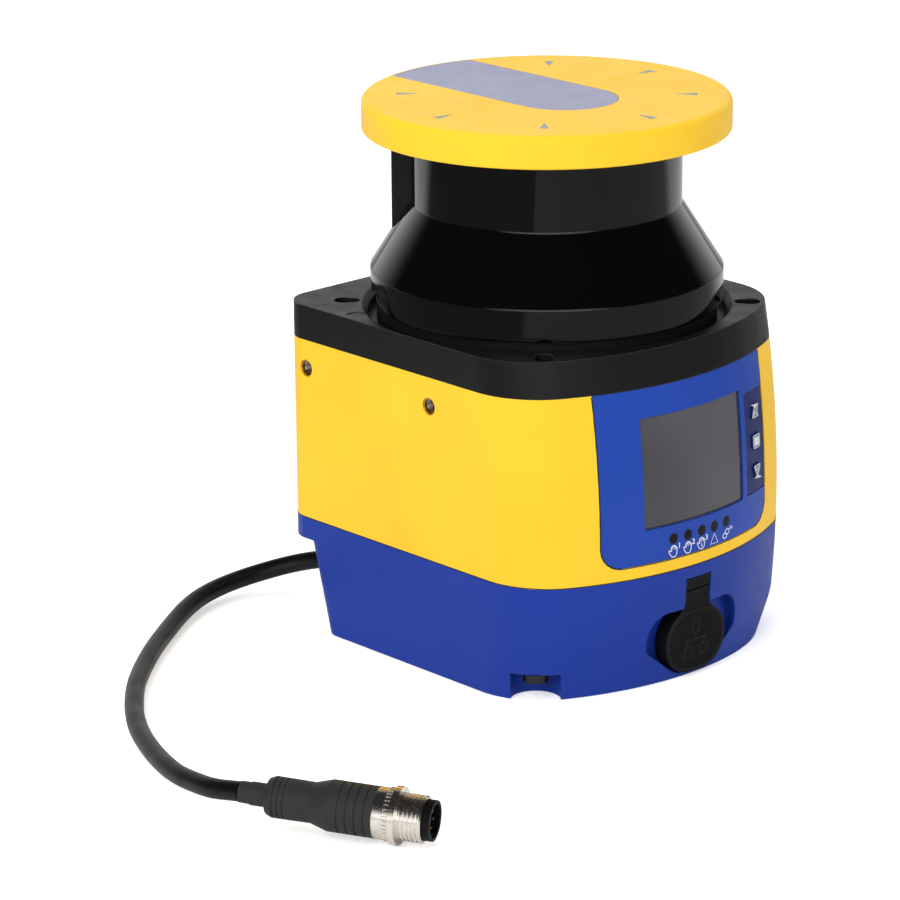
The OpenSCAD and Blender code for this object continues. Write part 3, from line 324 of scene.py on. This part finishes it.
def spread(tree, value, low, high, start=0.3, end=0.7):
    """Value stretched so that start to end becomes low to high."""
    stretch = tree.nodes.new("ShaderNodeMapRange")
    for socket, number in zip(("From Min", "From Max", "To Min", "To Max"), (start, end, low, high)):
        stretch.inputs[socket].default_value = number
    tree.links.new(value, stretch.inputs["Value"])
    return stretch.outputs["Result"]


def two_colours(tree, share, first, second):
    """Colour that goes from first to second, each an RGB or a socket, as share goes from 0 to 1."""
    mix = tree.nodes.new("ShaderNodeMix")
    mix.data_type = "RGBA"
    tree.links.new(share, mix.inputs["Factor"])
    for socket, colour in ((mix.inputs[6], first), (mix.inputs[7], second)):
        if isinstance(colour, tuple):
            socket.default_value = (*colour, 1)
        else:
            tree.links.new(colour, socket)
    return mix.outputs[2]


def bumpy(tree, height, strength, depth, normal=None):
    """A normal with relief depth millimetres deep."""
    bump = tree.nodes.new("ShaderNodeBump")
    bump.inputs["Strength"].default_value = strength
    bump.inputs["Distance"].default_value = depth * mm
    tree.links.new(height, bump.inputs["Height"])
    if normal is not None:
        tree.links.new(normal, bump.inputs["Normal"])
    return bump.outputs["Normal"]


def edges(tree, radius):
    """(normal rounded over the edges, how much of an edge a place is)."""
    rounded = tree.nodes.new("ShaderNodeBevel")
    rounded.samples = 6
    rounded.inputs["Radius"].default_value = radius * mm
    flat = tree.nodes.new("ShaderNodeNewGeometry")
    same = tree.nodes.new("ShaderNodeVectorMath")
    same.operation = "DOT_PRODUCT"
    tree.links.new(rounded.outputs["Normal"], same.inputs[0])
    tree.links.new(flat.outputs["Normal"], same.inputs[1])
    return rounded.outputs["Normal"], spread(tree, same.outputs["Value"], 1.0, 0.0, 0.75, 0.99)


def scaled(colour, share):
    return tuple(c * share for c in colour)


def moulded(name, colour, rough, grain=0.5, relief=0.02, edge=0.25, sheen=1.25, drift=0.05, gloss=0.2):
    """Plastic or rubber: drifting colour, grained relief, soft edges made lighter by a painted highlight."""
    material, tree, shader = node_tree(name)
    large = noise(tree, 38)
    body = two_colours(tree, spread(tree, large, 0, 1),
                       scaled(colour, 1 - drift), scaled(colour, 1 + drift))
    soft, painted_edge_highlight = edges(tree, edge)
    # Painted highlight: the edge colour is made lighter, as if the edges caught the light; sheen sets how
    # much.
    light = tuple(min(1.0, c * sheen + 0.06 * (sheen - 1)) for c in colour)
    tree.links.new(two_colours(tree, painted_edge_highlight, body, light), shader.inputs["Base Color"])
    fine = noise(tree, grain, 3)
    tree.links.new(spread(tree, noise(tree, 6), rough - 0.05, rough + 0.05), shader.inputs["Roughness"])
    tree.links.new(bumpy(tree, fine, 0.35, relief, soft), shader.inputs["Normal"])
    shader.inputs["Specular IOR Level"].default_value = gloss
    return material


yellow = moulded("yellow_plastic", (0.97, 0.585, 0.028), 0.42, 0.5, 0.012, 0.3, 1.06, gloss=0.22)
blue = moulded("blue_plastic", (0.010, 0.039, 0.305), 0.40, 0.5, 0.012, 0.3, 1.2)
panel_blue = moulded("panel_blue", (0.014, 0.058, 0.37), 0.34, 0.7, 0.006, 0.2, 1.2)
strip_blue = moulded("blue_strip", (0.012, 0.024, 0.125), 0.45, 0.6, 0.015, 0.15, 1.3)
key_blue = moulded("key_rubber", (0.012, 0.025, 0.13), 0.52, 0.5, 0.02, 0.2, 1.3)
black = moulded("black_plastic", (0.0082, 0.0082, 0.0086), 0.42, 0.6, 0.02, 0.3, 2.2)
soft_grip = moulded("grip_rubber", (0.026, 0.026, 0.027), 0.5, 0.5, 0.02, 0.2, 1.5)
rubber = moulded("black_rubber", (0.0034, 0.0034, 0.0034), 0.6, 0.45, 0.035, 0.25, 2.4, gloss=0.14)
print("moulded finishes ready")

# %% [markdown]
# ## Window
#
# The window is polycarbonate that looks black to the eye and lets the infrared beam through. It is
# polished like glass, so nearly all of its look is reflection: a high gloss, a very dark colour with a
# trace of red-brown, and a faint unevenness that makes long reflections waver.

# %% A finish for the window
window, tree, shader = node_tree("dark_window")
depth = two_colours(tree, spread(tree, noise(tree, 55), 0, 1),
                    (0.0009, 0.0008, 0.0008), (0.0019, 0.0016, 0.0016))
soft, _ = edges(tree, 0.6)
tree.links.new(depth, shader.inputs["Base Color"])
tree.links.new(spread(tree, noise(tree, 14), 0.035, 0.075), shader.inputs["Roughness"])
tree.links.new(bumpy(tree, noise(tree, 24), 0.25, 0.03, soft), shader.inputs["Normal"])
shader.inputs["IOR"].default_value = 1.58
print("window finish ready")

# %% [markdown]
# ## Metals
#
# The connector ring is nickel plated brass, the pins are gilt and the screws are steel, some of them
# blackened. Turned metal shows fine rings round its axis, but on parts this small a slightly uneven
# roughness with tiny scratches gives the same soft streaks, so one finish serves them all.

# %% A finish for metals
def metal(name, colour, rough, grain=0.4, relief=0.008, edge=0.12, dull=0.6):
    """Metal with a blotchy roughness, small scratches and edges made brighter by a painted highlight."""
    material, tree, shader = node_tree(name)
    blotch = noise(tree, 3, 4)
    body = two_colours(tree, spread(tree, blotch, 0, 1), scaled(colour, 0.82), colour)
    soft, painted_edge_highlight = edges(tree, edge)
    # Painted highlight: the edges are mixed to a brighter colour.
    bright = tuple(min(1, c * 1.15) for c in colour)
    tree.links.new(two_colours(tree, painted_edge_highlight, body, bright), shader.inputs["Base Color"])
    scratches = noise(tree, grain, 4)
    tree.links.new(spread(tree, scratches, rough * dull, rough * 1.3), shader.inputs["Roughness"])
    tree.links.new(bumpy(tree, noise(tree, grain, 3), 0.3, relief, soft), shader.inputs["Normal"])
    shader.inputs["Metallic"].default_value = 1
    return material


nickel = metal("nickel", (0.88, 0.83, 0.76), 0.24)
steel = metal("steel", (0.62, 0.62, 0.63), 0.3)
dark_steel = metal("dark_steel", (0.05, 0.05, 0.055), 0.38)
brass = metal("brass", (0.86, 0.62, 0.26), 0.26)
aluminium = metal("aluminium", (0.74, 0.75, 0.76), 0.36, 0.8)
mirror = metal("mirror_coat", (0.86, 0.88, 0.9), 0.05, 4, 0.001)
print("metal finishes ready")

# %% [markdown]
# ## Display, lenses and prints
#
# The display lies behind a clear cover. A pane can be glass that bends light, but light then has to
# find its way through it, which is slow and grainy. Here the cover mixes a see-through shader with a
# glossy one by the angle of view, so it shows its reflection and the screen behind it stays clear.

# %% Finishes for panes and lenses
def pane(name, tint, least, rough):
    """A thin clear sheet that reflects more at a slant, never less than least, with a painted highlight on
    its rim.
    """
    material, tree, shader = node_tree(name)
    shader.inputs["Roughness"].default_value = rough
    soft, rim = edges(tree, 0.4)
    body = two_colours(tree, spread(tree, noise(tree, 20), 0, 1), scaled(tint, 0.8), tint)
    # Painted highlight along the rim: its colour goes to light grey, and below, the rim also takes more of
    # the glossy shader.
    tree.links.new(two_colours(tree, rim, body, (0.75, 0.75, 0.78)), shader.inputs["Base Color"])
    tree.links.new(bumpy(tree, noise(tree, 9), 0.2, 0.004, soft), shader.inputs["Normal"])
    clear = tree.nodes.new("ShaderNodeBsdfTransparent")
    slant = tree.nodes.new("ShaderNodeFresnel")
    slant.inputs["IOR"].default_value = 1.49
    cover = maths(tree, "MAXIMUM", spread(tree, slant.outputs[0], least, 1, 0.04, 1),
                  spread(tree, rim, 0, 0.55, 0, 1))
    both = mixed(tree, cover, clear.outputs[0], shader.outputs[0])
    tree.links.new(both, tree.nodes["Material Output"].inputs["Surface"])
    return material


cover_clear = pane("clear_cover", (0.20, 0.20, 0.22), 0.15, 0.1)
lens_clear = pane("lens_glass", (0.10, 0.02, 0.02), 0.3, 0.05)
screen_grey = moulded("display_grey", (0.20, 0.20, 0.222), 0.35, 0.3, 0.004, 0.1, 1.1, 0.1)
lamp_dark = moulded("light_lens", (0.004, 0.004, 0.006), 0.16, 1.5, 0.004, 0.5, 2.6, gloss=0.14)
lilac = moulded("label_film", (0.30, 0.31, 0.44), 0.38, 0.25, 0.006, 0.1, 1.1, 0.03)
jacket = moulded("cable_jacket", (0.004, 0.004, 0.0045), 0.4, 0.9, 0.02, 0.1, 1.4, gloss=0.25)
print("pane, lens and film finishes ready")

# %% [markdown]
# Circuit boards are glass cloth under green lacquer. The weave shows as a fine grid, copper tracks show
# as slightly lighter lanes, and the lacquer is glossy. Two wave patterns crossed give the weave.

# %% A finish for circuit boards
board, tree, shader = node_tree("board_green")
coords = tree.nodes.new("ShaderNodeTexCoord")
weave = []
for axis in ("X", "Y"):
    wave = tree.nodes.new("ShaderNodeTexWave")
    wave.bands_direction = axis
    wave.inputs["Scale"].default_value = 320
    tree.links.new(coords.outputs["Object"], wave.inputs["Vector"])
    weave.append(wave.outputs["Fac"])
cloth = maths(tree, "MAXIMUM", weave[0], weave[1])
lanes = spread(tree, noise(tree, 5, 0), 0, 1, 0.48, 0.52)
lacquer = two_colours(tree, lanes, (0.008, 0.09, 0.035), (0.014, 0.14, 0.055))
tree.links.new(lacquer, shader.inputs["Base Color"])
tree.links.new(spread(tree, noise(tree, 8), 0.22, 0.36), shader.inputs["Roughness"])
tree.links.new(bumpy(tree, cloth, 0.2, 0.01), shader.inputs["Normal"])
print("board finish ready")

# %% [markdown]
# ## Give every solid its finish
#
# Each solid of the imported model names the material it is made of. Those names are matched with the
# finishes above, so no solid is left with a flat colour.

# %% Put the finishes on
finishes = {m.name: m for m in (yellow, blue, strip_blue, key_blue, black, rubber, window, nickel, steel,
                                dark_steel, brass, aluminium, mirror, cover_clear, lens_clear, screen_grey,
                                lamp_dark, lilac, jacket, board)}
for piece in frame["record"]["subparts"]:
    solid = nodes[piece["node"]]
    solid.data.materials.clear()
    solid.data.materials.append(finishes[piece["material_slot"]])
cable.data.materials.append(jacket)
for name, finish in (("front_panel", panel_blue), ("connector_body", soft_grip), ("cable_sleeve", soft_grip),
                     ("connector_insert", rubber)):
    nodes[name].material_slots[0].material = finish
print({name: nodes[name].material_slots[0].material.name for name in sorted(nodes)})

# %% [markdown]
# ## Direction marks on the cap
#
# Seven small grey arrowheads are printed round the cap and point at the scan axis, so that a fitter can
# line the scanner up by eye. A triangle could be drawn point by point. A circle with three corners is
# one already: it is stretched to an arrowhead, given a film's thickness and copied round the axis.

# %% A print finish and two helpers
def printed(name, colour, rough=0.5):
    """Screen ink: an even colour with the slight mottle and matt grain of a printed film."""
    material, tree, shader = node_tree(name)
    mottle = spread(tree, noise(tree, 1.2, 3), 0, 1)
    tree.links.new(two_colours(tree, mottle, scaled(colour, 0.93), colour), shader.inputs["Base Color"])
    tree.links.new(spread(tree, noise(tree, 0.5), rough - 0.06, rough + 0.06), shader.inputs["Roughness"])
    tree.links.new(bumpy(tree, noise(tree, 0.25, 2), 0.3, 0.004), shader.inputs["Normal"])
    return material


silver_ink = printed("silver_ink", (0.30, 0.35, 0.38))
white_ink = printed("white_ink", (0.80, 0.81, 0.84))


def start_clean():
    """Leave edit mode and deselect everything, the solids of the model too."""
    if bpy.context.object and bpy.context.object.mode != "OBJECT":
        bpy.ops.object.mode_set(mode="OBJECT")
    bpy.ops.object.select_all(action="DESELECT")


def finish_piece(piece, name, body, material, smooth=30):
    """Name a piece, put its place into its mesh and let it ride on a body."""
    start_clean()
    piece.select_set(True)
    bpy.context.view_layer.objects.active = piece
    bpy.ops.object.transform_apply(location=True, rotation=True, scale=True)
    bpy.ops.object.mode_set(mode="EDIT")
    bpy.ops.mesh.select_all(action="SELECT")
    bpy.ops.mesh.normals_make_consistent(inside=False)
    bpy.ops.object.mode_set(mode="OBJECT")
    bpy.ops.object.shade_smooth_by_angle(angle=math.radians(smooth))
    piece.name = piece.data.name = name
    piece.data.materials.clear()
    piece.data.materials.append(material)
    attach(piece, body)
    return piece


print("inks", silver_ink.name, "and", white_ink.name)

# %% Shape one arrowhead and copy it round the axis
scan_y, mark_ring, ink_thick, ink_sunk = 3.15, 38, 0.1, 0.05
cap_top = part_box("top_cap")[1].z / mm
start_clean()
bpy.ops.mesh.primitive_circle_add(vertices=3, radius=1 * mm, fill_type="NGON")
arrowhead = bpy.context.object
bpy.ops.object.mode_set(mode="EDIT")
bpy.ops.mesh.select_all(action="SELECT")
bpy.ops.transform.resize(value=(1.5, 4, 1))
bpy.ops.mesh.extrude_region_move(TRANSFORM_OT_translate={"value": (0, 0, ink_thick * mm)})
bpy.ops.object.mode_set(mode="OBJECT")

for number, degrees in enumerate((-90, -45, 0, 45, 135, 180, -135), 1):
    around = math.radians(degrees)
    mark = arrowhead.copy()
    mark.data = arrowhead.data.copy()
    bpy.context.scene.collection.objects.link(mark)
    mark.location = Vector((mark_ring * math.cos(around), scan_y + mark_ring * math.sin(around),
                            cap_top - ink_sunk)) * mm
    mark.rotation_euler.z = around + math.pi / 2
    finish_piece(mark, f"cap_mark_{number}", "body", silver_ink)
bpy.data.objects.remove(arrowhead)
print("seven marks at height", cap_top)

# %% [markdown]
# ## Marks on the keys
#
# Each rubber key carries a white symbol with a thin white line round it. The key is not flat to the
# front, so a flat print has to be laid on it. A shrinkwrap would press it quite flat. Here each point
# moves back by the depth at which it meets the key, which keeps the thickness of the ink.

# %% Helpers that lay a flat print on a curved front
def front_of(solid, point):
    """The depth of a solid's front behind a point, or None past its edge."""
    hit, place, _, _ = solid.ray_cast(Vector((point.co.x, -1, point.co.z)), Vector((0, 1, 0)))
    return place.y if hit else None


def lay_on(piece, *solids):
    """Move a print, drawn round y = 0, on to the first of the solids that each point meets.

    A point that meets none takes the depth of the last point that met one.
    """
    past_edge, front = [], 0
    for point in piece.data.vertices:
        met = [depth for depth in (front_of(solid, point) for solid in solids) if depth is not None]
        if met:
            front = met[0]
            point.co.y += front
        else:
            past_edge.append(point)
    for point in past_edge:
        point.co.y += front
    piece.data.update()
    return piece


def key_mark(name, corners, turn, stretch, drop, body, solid):
    """A rounded polygon of ink inside a thin ring of ink, on one key."""
    rounding, ring_w, ring_gap, thick = 0.55 * mm, 0.2 * mm, 0.42 * mm, 0.2 * mm
    low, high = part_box(solid)
    start_clean()
    centre = Vector(((low.x + high.x) / 2, 0, (low.z + high.z) / 2 + drop * mm))
    bpy.ops.mesh.primitive_circle_add(vertices=corners, radius=1 * mm, fill_type="NGON", location=centre,
                                      rotation=(math.pi / 2, turn, 0))
    mark = bpy.context.object
    bpy.ops.object.mode_set(mode="EDIT")
    bpy.ops.mesh.select_all(action="SELECT")
    bpy.ops.transform.resize(value=(stretch[0], 1, stretch[1]), center_override=centre)
    bpy.ops.mesh.bevel(offset=rounding, segments=5, affect="VERTICES")
    bpy.ops.mesh.inset(thickness=ring_w, depth=0)
    bpy.ops.mesh.inset(thickness=ring_gap, depth=0)
    mesh = bmesh.from_edit_mesh(mark.data)
    solid_part = [face for face in mesh.faces if face.select]
    bare = {near for face in solid_part for edge in face.edges for near in edge.link_faces}
    for face in mesh.faces:
        face.select_set(face in bare and face not in solid_part)
    bmesh.update_edit_mesh(mark.data)
    bpy.ops.mesh.delete(type="FACE")
    bpy.ops.mesh.select_all(action="SELECT")
    bpy.ops.mesh.extrude_region_move(TRANSFORM_OT_translate={"value": (0, -thick, 0)})
    finish_piece(mark, name, body, white_ink)
    return lay_on(mark, nodes[solid])


key_mark("up_mark", 3, 0, (2.15, 2.45), -0.6, "up_key", "up_button")
key_mark("select_mark", 4, math.pi / 4, (2.6, 2.6), 0, "select_key", "select_button")
key_mark("down_mark", 3, math.pi, (2.15, 2.45), 0.6, "down_key", "down_button")
print("three key marks")

# %% [markdown]
# ## Signs under the lights
#
# Each status light has a white sign below it: three open hands with a number, a triangle and two
# linked rings. They are line drawings in paint. Text would do for the numbers only, so the lines are
# smooth curves with a thin round section, made a mesh, pressed nearly flat and laid on the panel.

# %% A helper that paints a line
def painted_line(points, width=0.2, closed=True, smooth=True, height=0.35):
    """A line of paint through points (x, z) in millimetres, drawn round y = 0."""
    drawing = bpy.data.curves.new("paint", "CURVE")
    drawing.dimensions = "3D"
    drawing.resolution_u = 6
    drawing.bevel_depth = width / 2 * mm
    drawing.bevel_resolution = 1
    drawing.use_fill_caps = True
    line = drawing.splines.new("BEZIER")
    line.bezier_points.add(len(points) - 1)
    line.use_cyclic_u = closed
    for knot, (x, z) in zip(line.bezier_points, points):
        knot.co = Vector((x, 0, z)) * mm
        knot.handle_left_type = knot.handle_right_type = "AUTO" if smooth else "VECTOR"
    paint = bpy.data.objects.new("paint", drawing)
    bpy.context.scene.collection.objects.link(paint)
    start_clean()
    paint.select_set(True)
    bpy.context.view_layer.objects.active = paint
    bpy.ops.object.convert(target="MESH")
    bpy.ops.object.mode_set(mode="EDIT")
    bpy.ops.mesh.select_all(action="SELECT")
    bpy.ops.mesh.remove_doubles(threshold=0.01 * mm)
    bpy.ops.transform.resize(value=(1, height, 1), center_override=(0, 0, 0))
    bpy.ops.object.mode_set(mode="OBJECT")
    return bpy.context.object


def digit(character, x, z):
    """A printed number whose middle is at (x, z), drawn round y = 0."""
    start_clean()
    bpy.ops.object.text_add(rotation=(math.pi / 2, 0, 0))
    text = bpy.context.object
    text.data.body = character
    text.data.size = 2.2 * mm
    text.data.extrude = 0.03 * mm
    text.data.offset = 0.03 * mm
    text.data.resolution_u = 4
    text.data.align_x, text.data.align_y = "CENTER", "CENTER"
    bpy.ops.object.convert(target="MESH")
    text = bpy.context.object
    text.location = Vector((x, 0, z)) * mm
    return text


def joined(pieces):
    """Several meshes as one."""
    start_clean()
    for piece in pieces:
        piece.select_set(True)
    bpy.context.view_layer.objects.active = pieces[0]
    bpy.ops.object.join()
    return bpy.context.object


def moved(points, x, z, wide=1.0, tall=1.0):
    return [(x + wide * a, z + tall * b) for a, b in points]


print("paint and number helpers ready")

# %% Draw the five signs
light_d, sign_drop = 3, 3.5
low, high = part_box("status_lights")
light_z = (low.z + high.z) / 2 / mm
pitch = ((high.x - low.x) / mm - light_d) / 4
light_x = [low.x / mm + light_d / 2 + k * pitch for k in range(5)]
sign_z = light_z - sign_drop

hand = [(-0.45, -1.9), (0.6, -1.9), (1.1, -1.2), (1.27, 0), (1.25, 0.85), (1.02, 1.1), (0.8, 0.9),
        (0.74, 1.3), (0.5, 1.6), (0.26, 1.3), (0.2, 1.55), (-0.07, 1.85), (-0.34, 1.55), (-0.4, 1.2),
        (-0.65, 1.45), (-0.9, 1.15), (-0.95, 0), (-1.35, 0.35), (-1.75, 0.3), (-1.6, -0.3), (-1.1, -1.3)]
gaps = [[(-0.37, 1.2), (-0.35, 0.35)], [(0.22, 1.3), (0.22, 0.4)], [(0.78, 0.9), (0.76, 0.2)]]
for number in range(3):
    x = light_x[number]
    parts = [painted_line(moved(hand, x, sign_z, 0.92, 0.86), 0.29)]
    parts += [painted_line(moved(gap, x, sign_z, 0.92, 0.86), 0.17, False, False) for gap in gaps]
    if number == 2:
        parts.append(painted_line(moved([(0.1, -1.25), (0.1, -0.1)], x, sign_z), 0.28, False, False))
    parts.append(digit(str(number + 1), x + 2.0, light_z - 2.4))
    finish_piece(joined(parts), f"hand_sign_{number + 1}", "body", white_ink)
    lay_on(bpy.context.object, nodes["front_panel"], nodes["status_lights"])

triangle = [(-1.55, -1.4), (1.55, -1.4), (0, 1.45)]
finish_piece(painted_line(moved(triangle, light_x[3], sign_z), 0.32, True, False), "triangle_sign",
             "body", white_ink)
lay_on(bpy.context.object, nodes["front_panel"], nodes["status_lights"])

ring = [(0.78 * math.cos(k * math.pi / 4), 0.78 * math.sin(k * math.pi / 4)) for k in range(8)]
parts = [painted_line(moved(ring, light_x[4] + shift, sign_z + shift, 1.15, 0.92), 0.29)
         for shift in (-0.5, 0.5)]
strokes = [[(-0.35, -0.5), (-0.35, 0.5)], [(0.15, -0.5), (0.15, 0.2)], [(0.6, -0.5), (0.6, 0.2)]]
parts += [painted_line(moved(stroke, light_x[4] + 2.2, light_z - 2.2), 0.24, False, False)
          for stroke in strokes]
finish_piece(joined(parts), "rings_sign", "body", white_ink)
lay_on(bpy.context.object, nodes["front_panel"])
print("five signs under the lights at height", round(sign_z, 2))

# %% [markdown]
# ## Film in the display cover
#
# The screen shows through its clear cover as one even grey, because a grey film moulded into the cover
# hides the ledge that it rests on. A grid is added at the size of the cover, each of its points moves
# on to the curved front and a little below it, and Solidify gives it a film's thickness.

# %% Lay the film under the front of the cover
low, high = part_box("display_cover")
film_edge, film_depth, film_thick = 0.26 * mm, 0.45 * mm, 0.12 * mm
centre = Vector(((low.x + high.x) / 2, 0, (low.z + high.z) / 2))
start_clean()
bpy.ops.mesh.primitive_grid_add(x_subdivisions=28, y_subdivisions=6, size=1, location=centre,
                                rotation=(math.pi / 2, 0, 0))
film = bpy.context.object
bpy.ops.object.mode_set(mode="EDIT")
bpy.ops.mesh.select_all(action="SELECT")
bpy.ops.transform.resize(value=(high.x - low.x - 2 * film_edge, 1, high.z - low.z - 2 * film_edge),
                         center_override=centre)
bpy.ops.object.mode_set(mode="OBJECT")
bpy.ops.object.transform_apply(location=True, rotation=True, scale=True)
for point in film.data.vertices:
    point.co.y = front_of(nodes["display_cover"], point) + film_depth
film_wall = film.modifiers.new("film_wall", "SOLIDIFY")
film_wall.thickness = film_thick
film_wall.offset = 0
bpy.ops.object.modifier_apply(modifier="film_wall")
finish_piece(film, "display_film", "body", screen_grey)
print("film is", [round(v / mm, 2) for v in film.dimensions])

# %% [markdown]
# ## Joint lines
#
# Where two mouldings meet, a fine dark line shows the gap between them. Round the front panel it is
# drawn as paint was, as a rounded U that follows the panel's edge. Round the whole body it is found by
# cutting: a copy of the housing is bisected just above the base, and its outer loop becomes a bead.

# %% Draw the line round the front panel
shadow_black = printed("joint_black", (0.006, 0.006, 0.008), 0.7)
low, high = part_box("front_panel")
gap_w, line_w, corner_r = 0.25, 0.34, 6.25
side_x, low_z = high.x / mm + gap_w, low.z / mm - gap_w
top_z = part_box("main_housing")[1].z / mm - 0.3
arc = [(math.cos(k * math.pi / 12), math.sin(k * math.pi / 12)) for k in range(7)]
half_line = [(side_x, top_z + (low_z + corner_r - top_z) * k / 6) for k in range(6)]
half_line += [(side_x - corner_r + corner_r * a, low_z + corner_r - corner_r * b) for a, b in arc]
half_line += [((side_x - corner_r) * (1 - k / 8), low_z) for k in range(1, 8)]
u_line = half_line + [(0, low_z)] + [(-x, z) for x, z in reversed(half_line)]
panel_line = painted_line(u_line, line_w, False, False, 0.5)
finish_piece(panel_line, "panel_joint", "body", shadow_black)
lay_on(panel_line, nodes["main_housing"], nodes["front_panel"])
print("line round the panel has", len(u_line), "points")

# %% Cut a copy of the housing and keep its outer loop
base_line_w, cut_up = 0.26, 0.15
cut_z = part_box("main_housing")[0].z + cut_up * mm
start_clean()
cut = bpy.data.objects.new("cut", nodes["main_housing"].data.copy())
bpy.context.scene.collection.objects.link(cut)
cut.select_set(True)
bpy.context.view_layer.objects.active = cut
bpy.ops.object.mode_set(mode="EDIT")
bpy.ops.mesh.select_all(action="SELECT")
bpy.ops.mesh.remove_doubles(threshold=0.002 * mm)
bpy.ops.mesh.bisect(plane_co=(0, 0, cut_z), plane_no=(0, 0, 1), clear_inner=True, clear_outer=True)
bpy.ops.mesh.select_all(action="SELECT")
bpy.ops.mesh.remove_doubles(threshold=0.02 * mm)
bpy.ops.mesh.separate(type="LOOSE")
bpy.ops.object.mode_set(mode="OBJECT")
loops = sorted(bpy.context.selected_objects, key=lambda loop: loop.dimensions.x)
base_line = loops.pop()
for loop in loops:
    bpy.data.objects.remove(loop)
start_clean()
base_line.select_set(True)
bpy.context.view_layer.objects.active = base_line
bpy.ops.object.convert(target="CURVE")
base_line = bpy.context.object
base_line.data.bevel_depth = base_line_w / 2 * mm
base_line.data.bevel_resolution = 1
bpy.ops.object.convert(target="MESH")
finish_piece(bpy.context.object, "base_joint", "body", shadow_black)
print("line above the base is", [round(v / mm, 1) for v in bpy.context.object.dimensions])

# %% [markdown]
# ## Raised lines on the dust cap
#
# The rubber cap over the service socket has a fine raised rim just inside its edge and the common sign
# for a network socket, three boxes joined by lines, moulded on it. They are the same kind of line as
# the paint, only higher, and take the rubber's own finish.

# %% Raise the rim and the network sign
oval_z = 10.3
straight, round_r = 2.4, 8.2
rim = [(side * straight + round_r * math.sin(a) * side, oval_z + round_r * math.cos(a))
       for side, turns in ((1, range(0, 13)), (-1, range(12, -1, -1)))
       for a in [math.pi * t / 12 for t in turns]]
box_sign = [(-1.35, -1.35), (1.35, -1.35), (1.35, 1.35), (-1.35, 1.35)]
lines = [(rim, 0.5, True), (moved(box_sign, 0, 13.7), 0.42, True), (moved(box_sign, -3.1, 7), 0.42, True),
         (moved(box_sign, 3.1, 7), 0.42, True), ([(0, 12.3), (0, 10.3)], 0.42, False),
         ([(-4.2, 10.3), (4.2, 10.3)], 0.42, False), ([(-3.1, 10.3), (-3.1, 8.2)], 0.42, False),
         ([(3.1, 10.3), (3.1, 8.2)], 0.42, False)]
raised = joined([painted_line(points, width, closed, False, 0.7) for points, width, closed in lines])
finish_piece(raised, "dust_cap_lines", "cap_flap", rubber)
lay_on(raised, nodes["dust_cap"])
print("dust cap lines stand at", round(min(point.co.y for point in raised.data.vertices) / mm, 2))

# %% [markdown]
# ## Threads in the side inserts
#
# Four metal inserts take the bracket's screws. Seen from the side, their bores shine with thread. One
# ridge of triangular section is wound along the bore by the Screw modifier, which is what it is for:
# it turns a section round an axis and moves it one pitch for each turn. It is copied to each bore.

# %% Wind one thread and copy it to the four bores
bore, pitch, turns = 2.1, 0.7, 10
ridge_r, ridge_sunk, run_in = 0.28, 0.06, 0.9
low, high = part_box("side_inserts")
insert_z = (low.z + high.z) / 2
rear_y, front_y = high.y - (high.z - low.z) / 2, low.y + (high.z - low.z) / 2
start_clean()
bpy.ops.mesh.primitive_circle_add(vertices=3, radius=ridge_r * mm, fill_type="NOTHING",
                                  location=(0, 0, (bore - ridge_sunk) * mm),
                                  rotation=(-math.pi / 2, 0, math.pi / 2))
thread = bpy.context.object
bpy.ops.object.transform_apply(location=True, rotation=True, scale=True)
wind = thread.modifiers.new("wind", "SCREW")
wind.axis = "X"
wind.angle = math.tau
wind.screw_offset = pitch * mm
wind.iterations = turns
wind.steps = wind.render_steps = 28
wind.use_merge_vertices = False
bpy.ops.object.modifier_apply(modifier="wind")
left_x = low.x + run_in * pitch * mm
right_x = high.x - (turns + run_in) * pitch * mm
for number, (side, y) in enumerate(((-1, rear_y), (-1, front_y), (1, rear_y), (1, front_y)), 1):
    copy = thread.copy()
    copy.data = thread.data.copy()
    bpy.context.scene.collection.objects.link(copy)
    copy.location = (right_x if side > 0 else left_x, y, insert_z)
    finish_piece(copy, f"insert_thread_{number}", "body", steel, 40)
bpy.data.objects.remove(thread)
print("four threads of", turns, "turns")
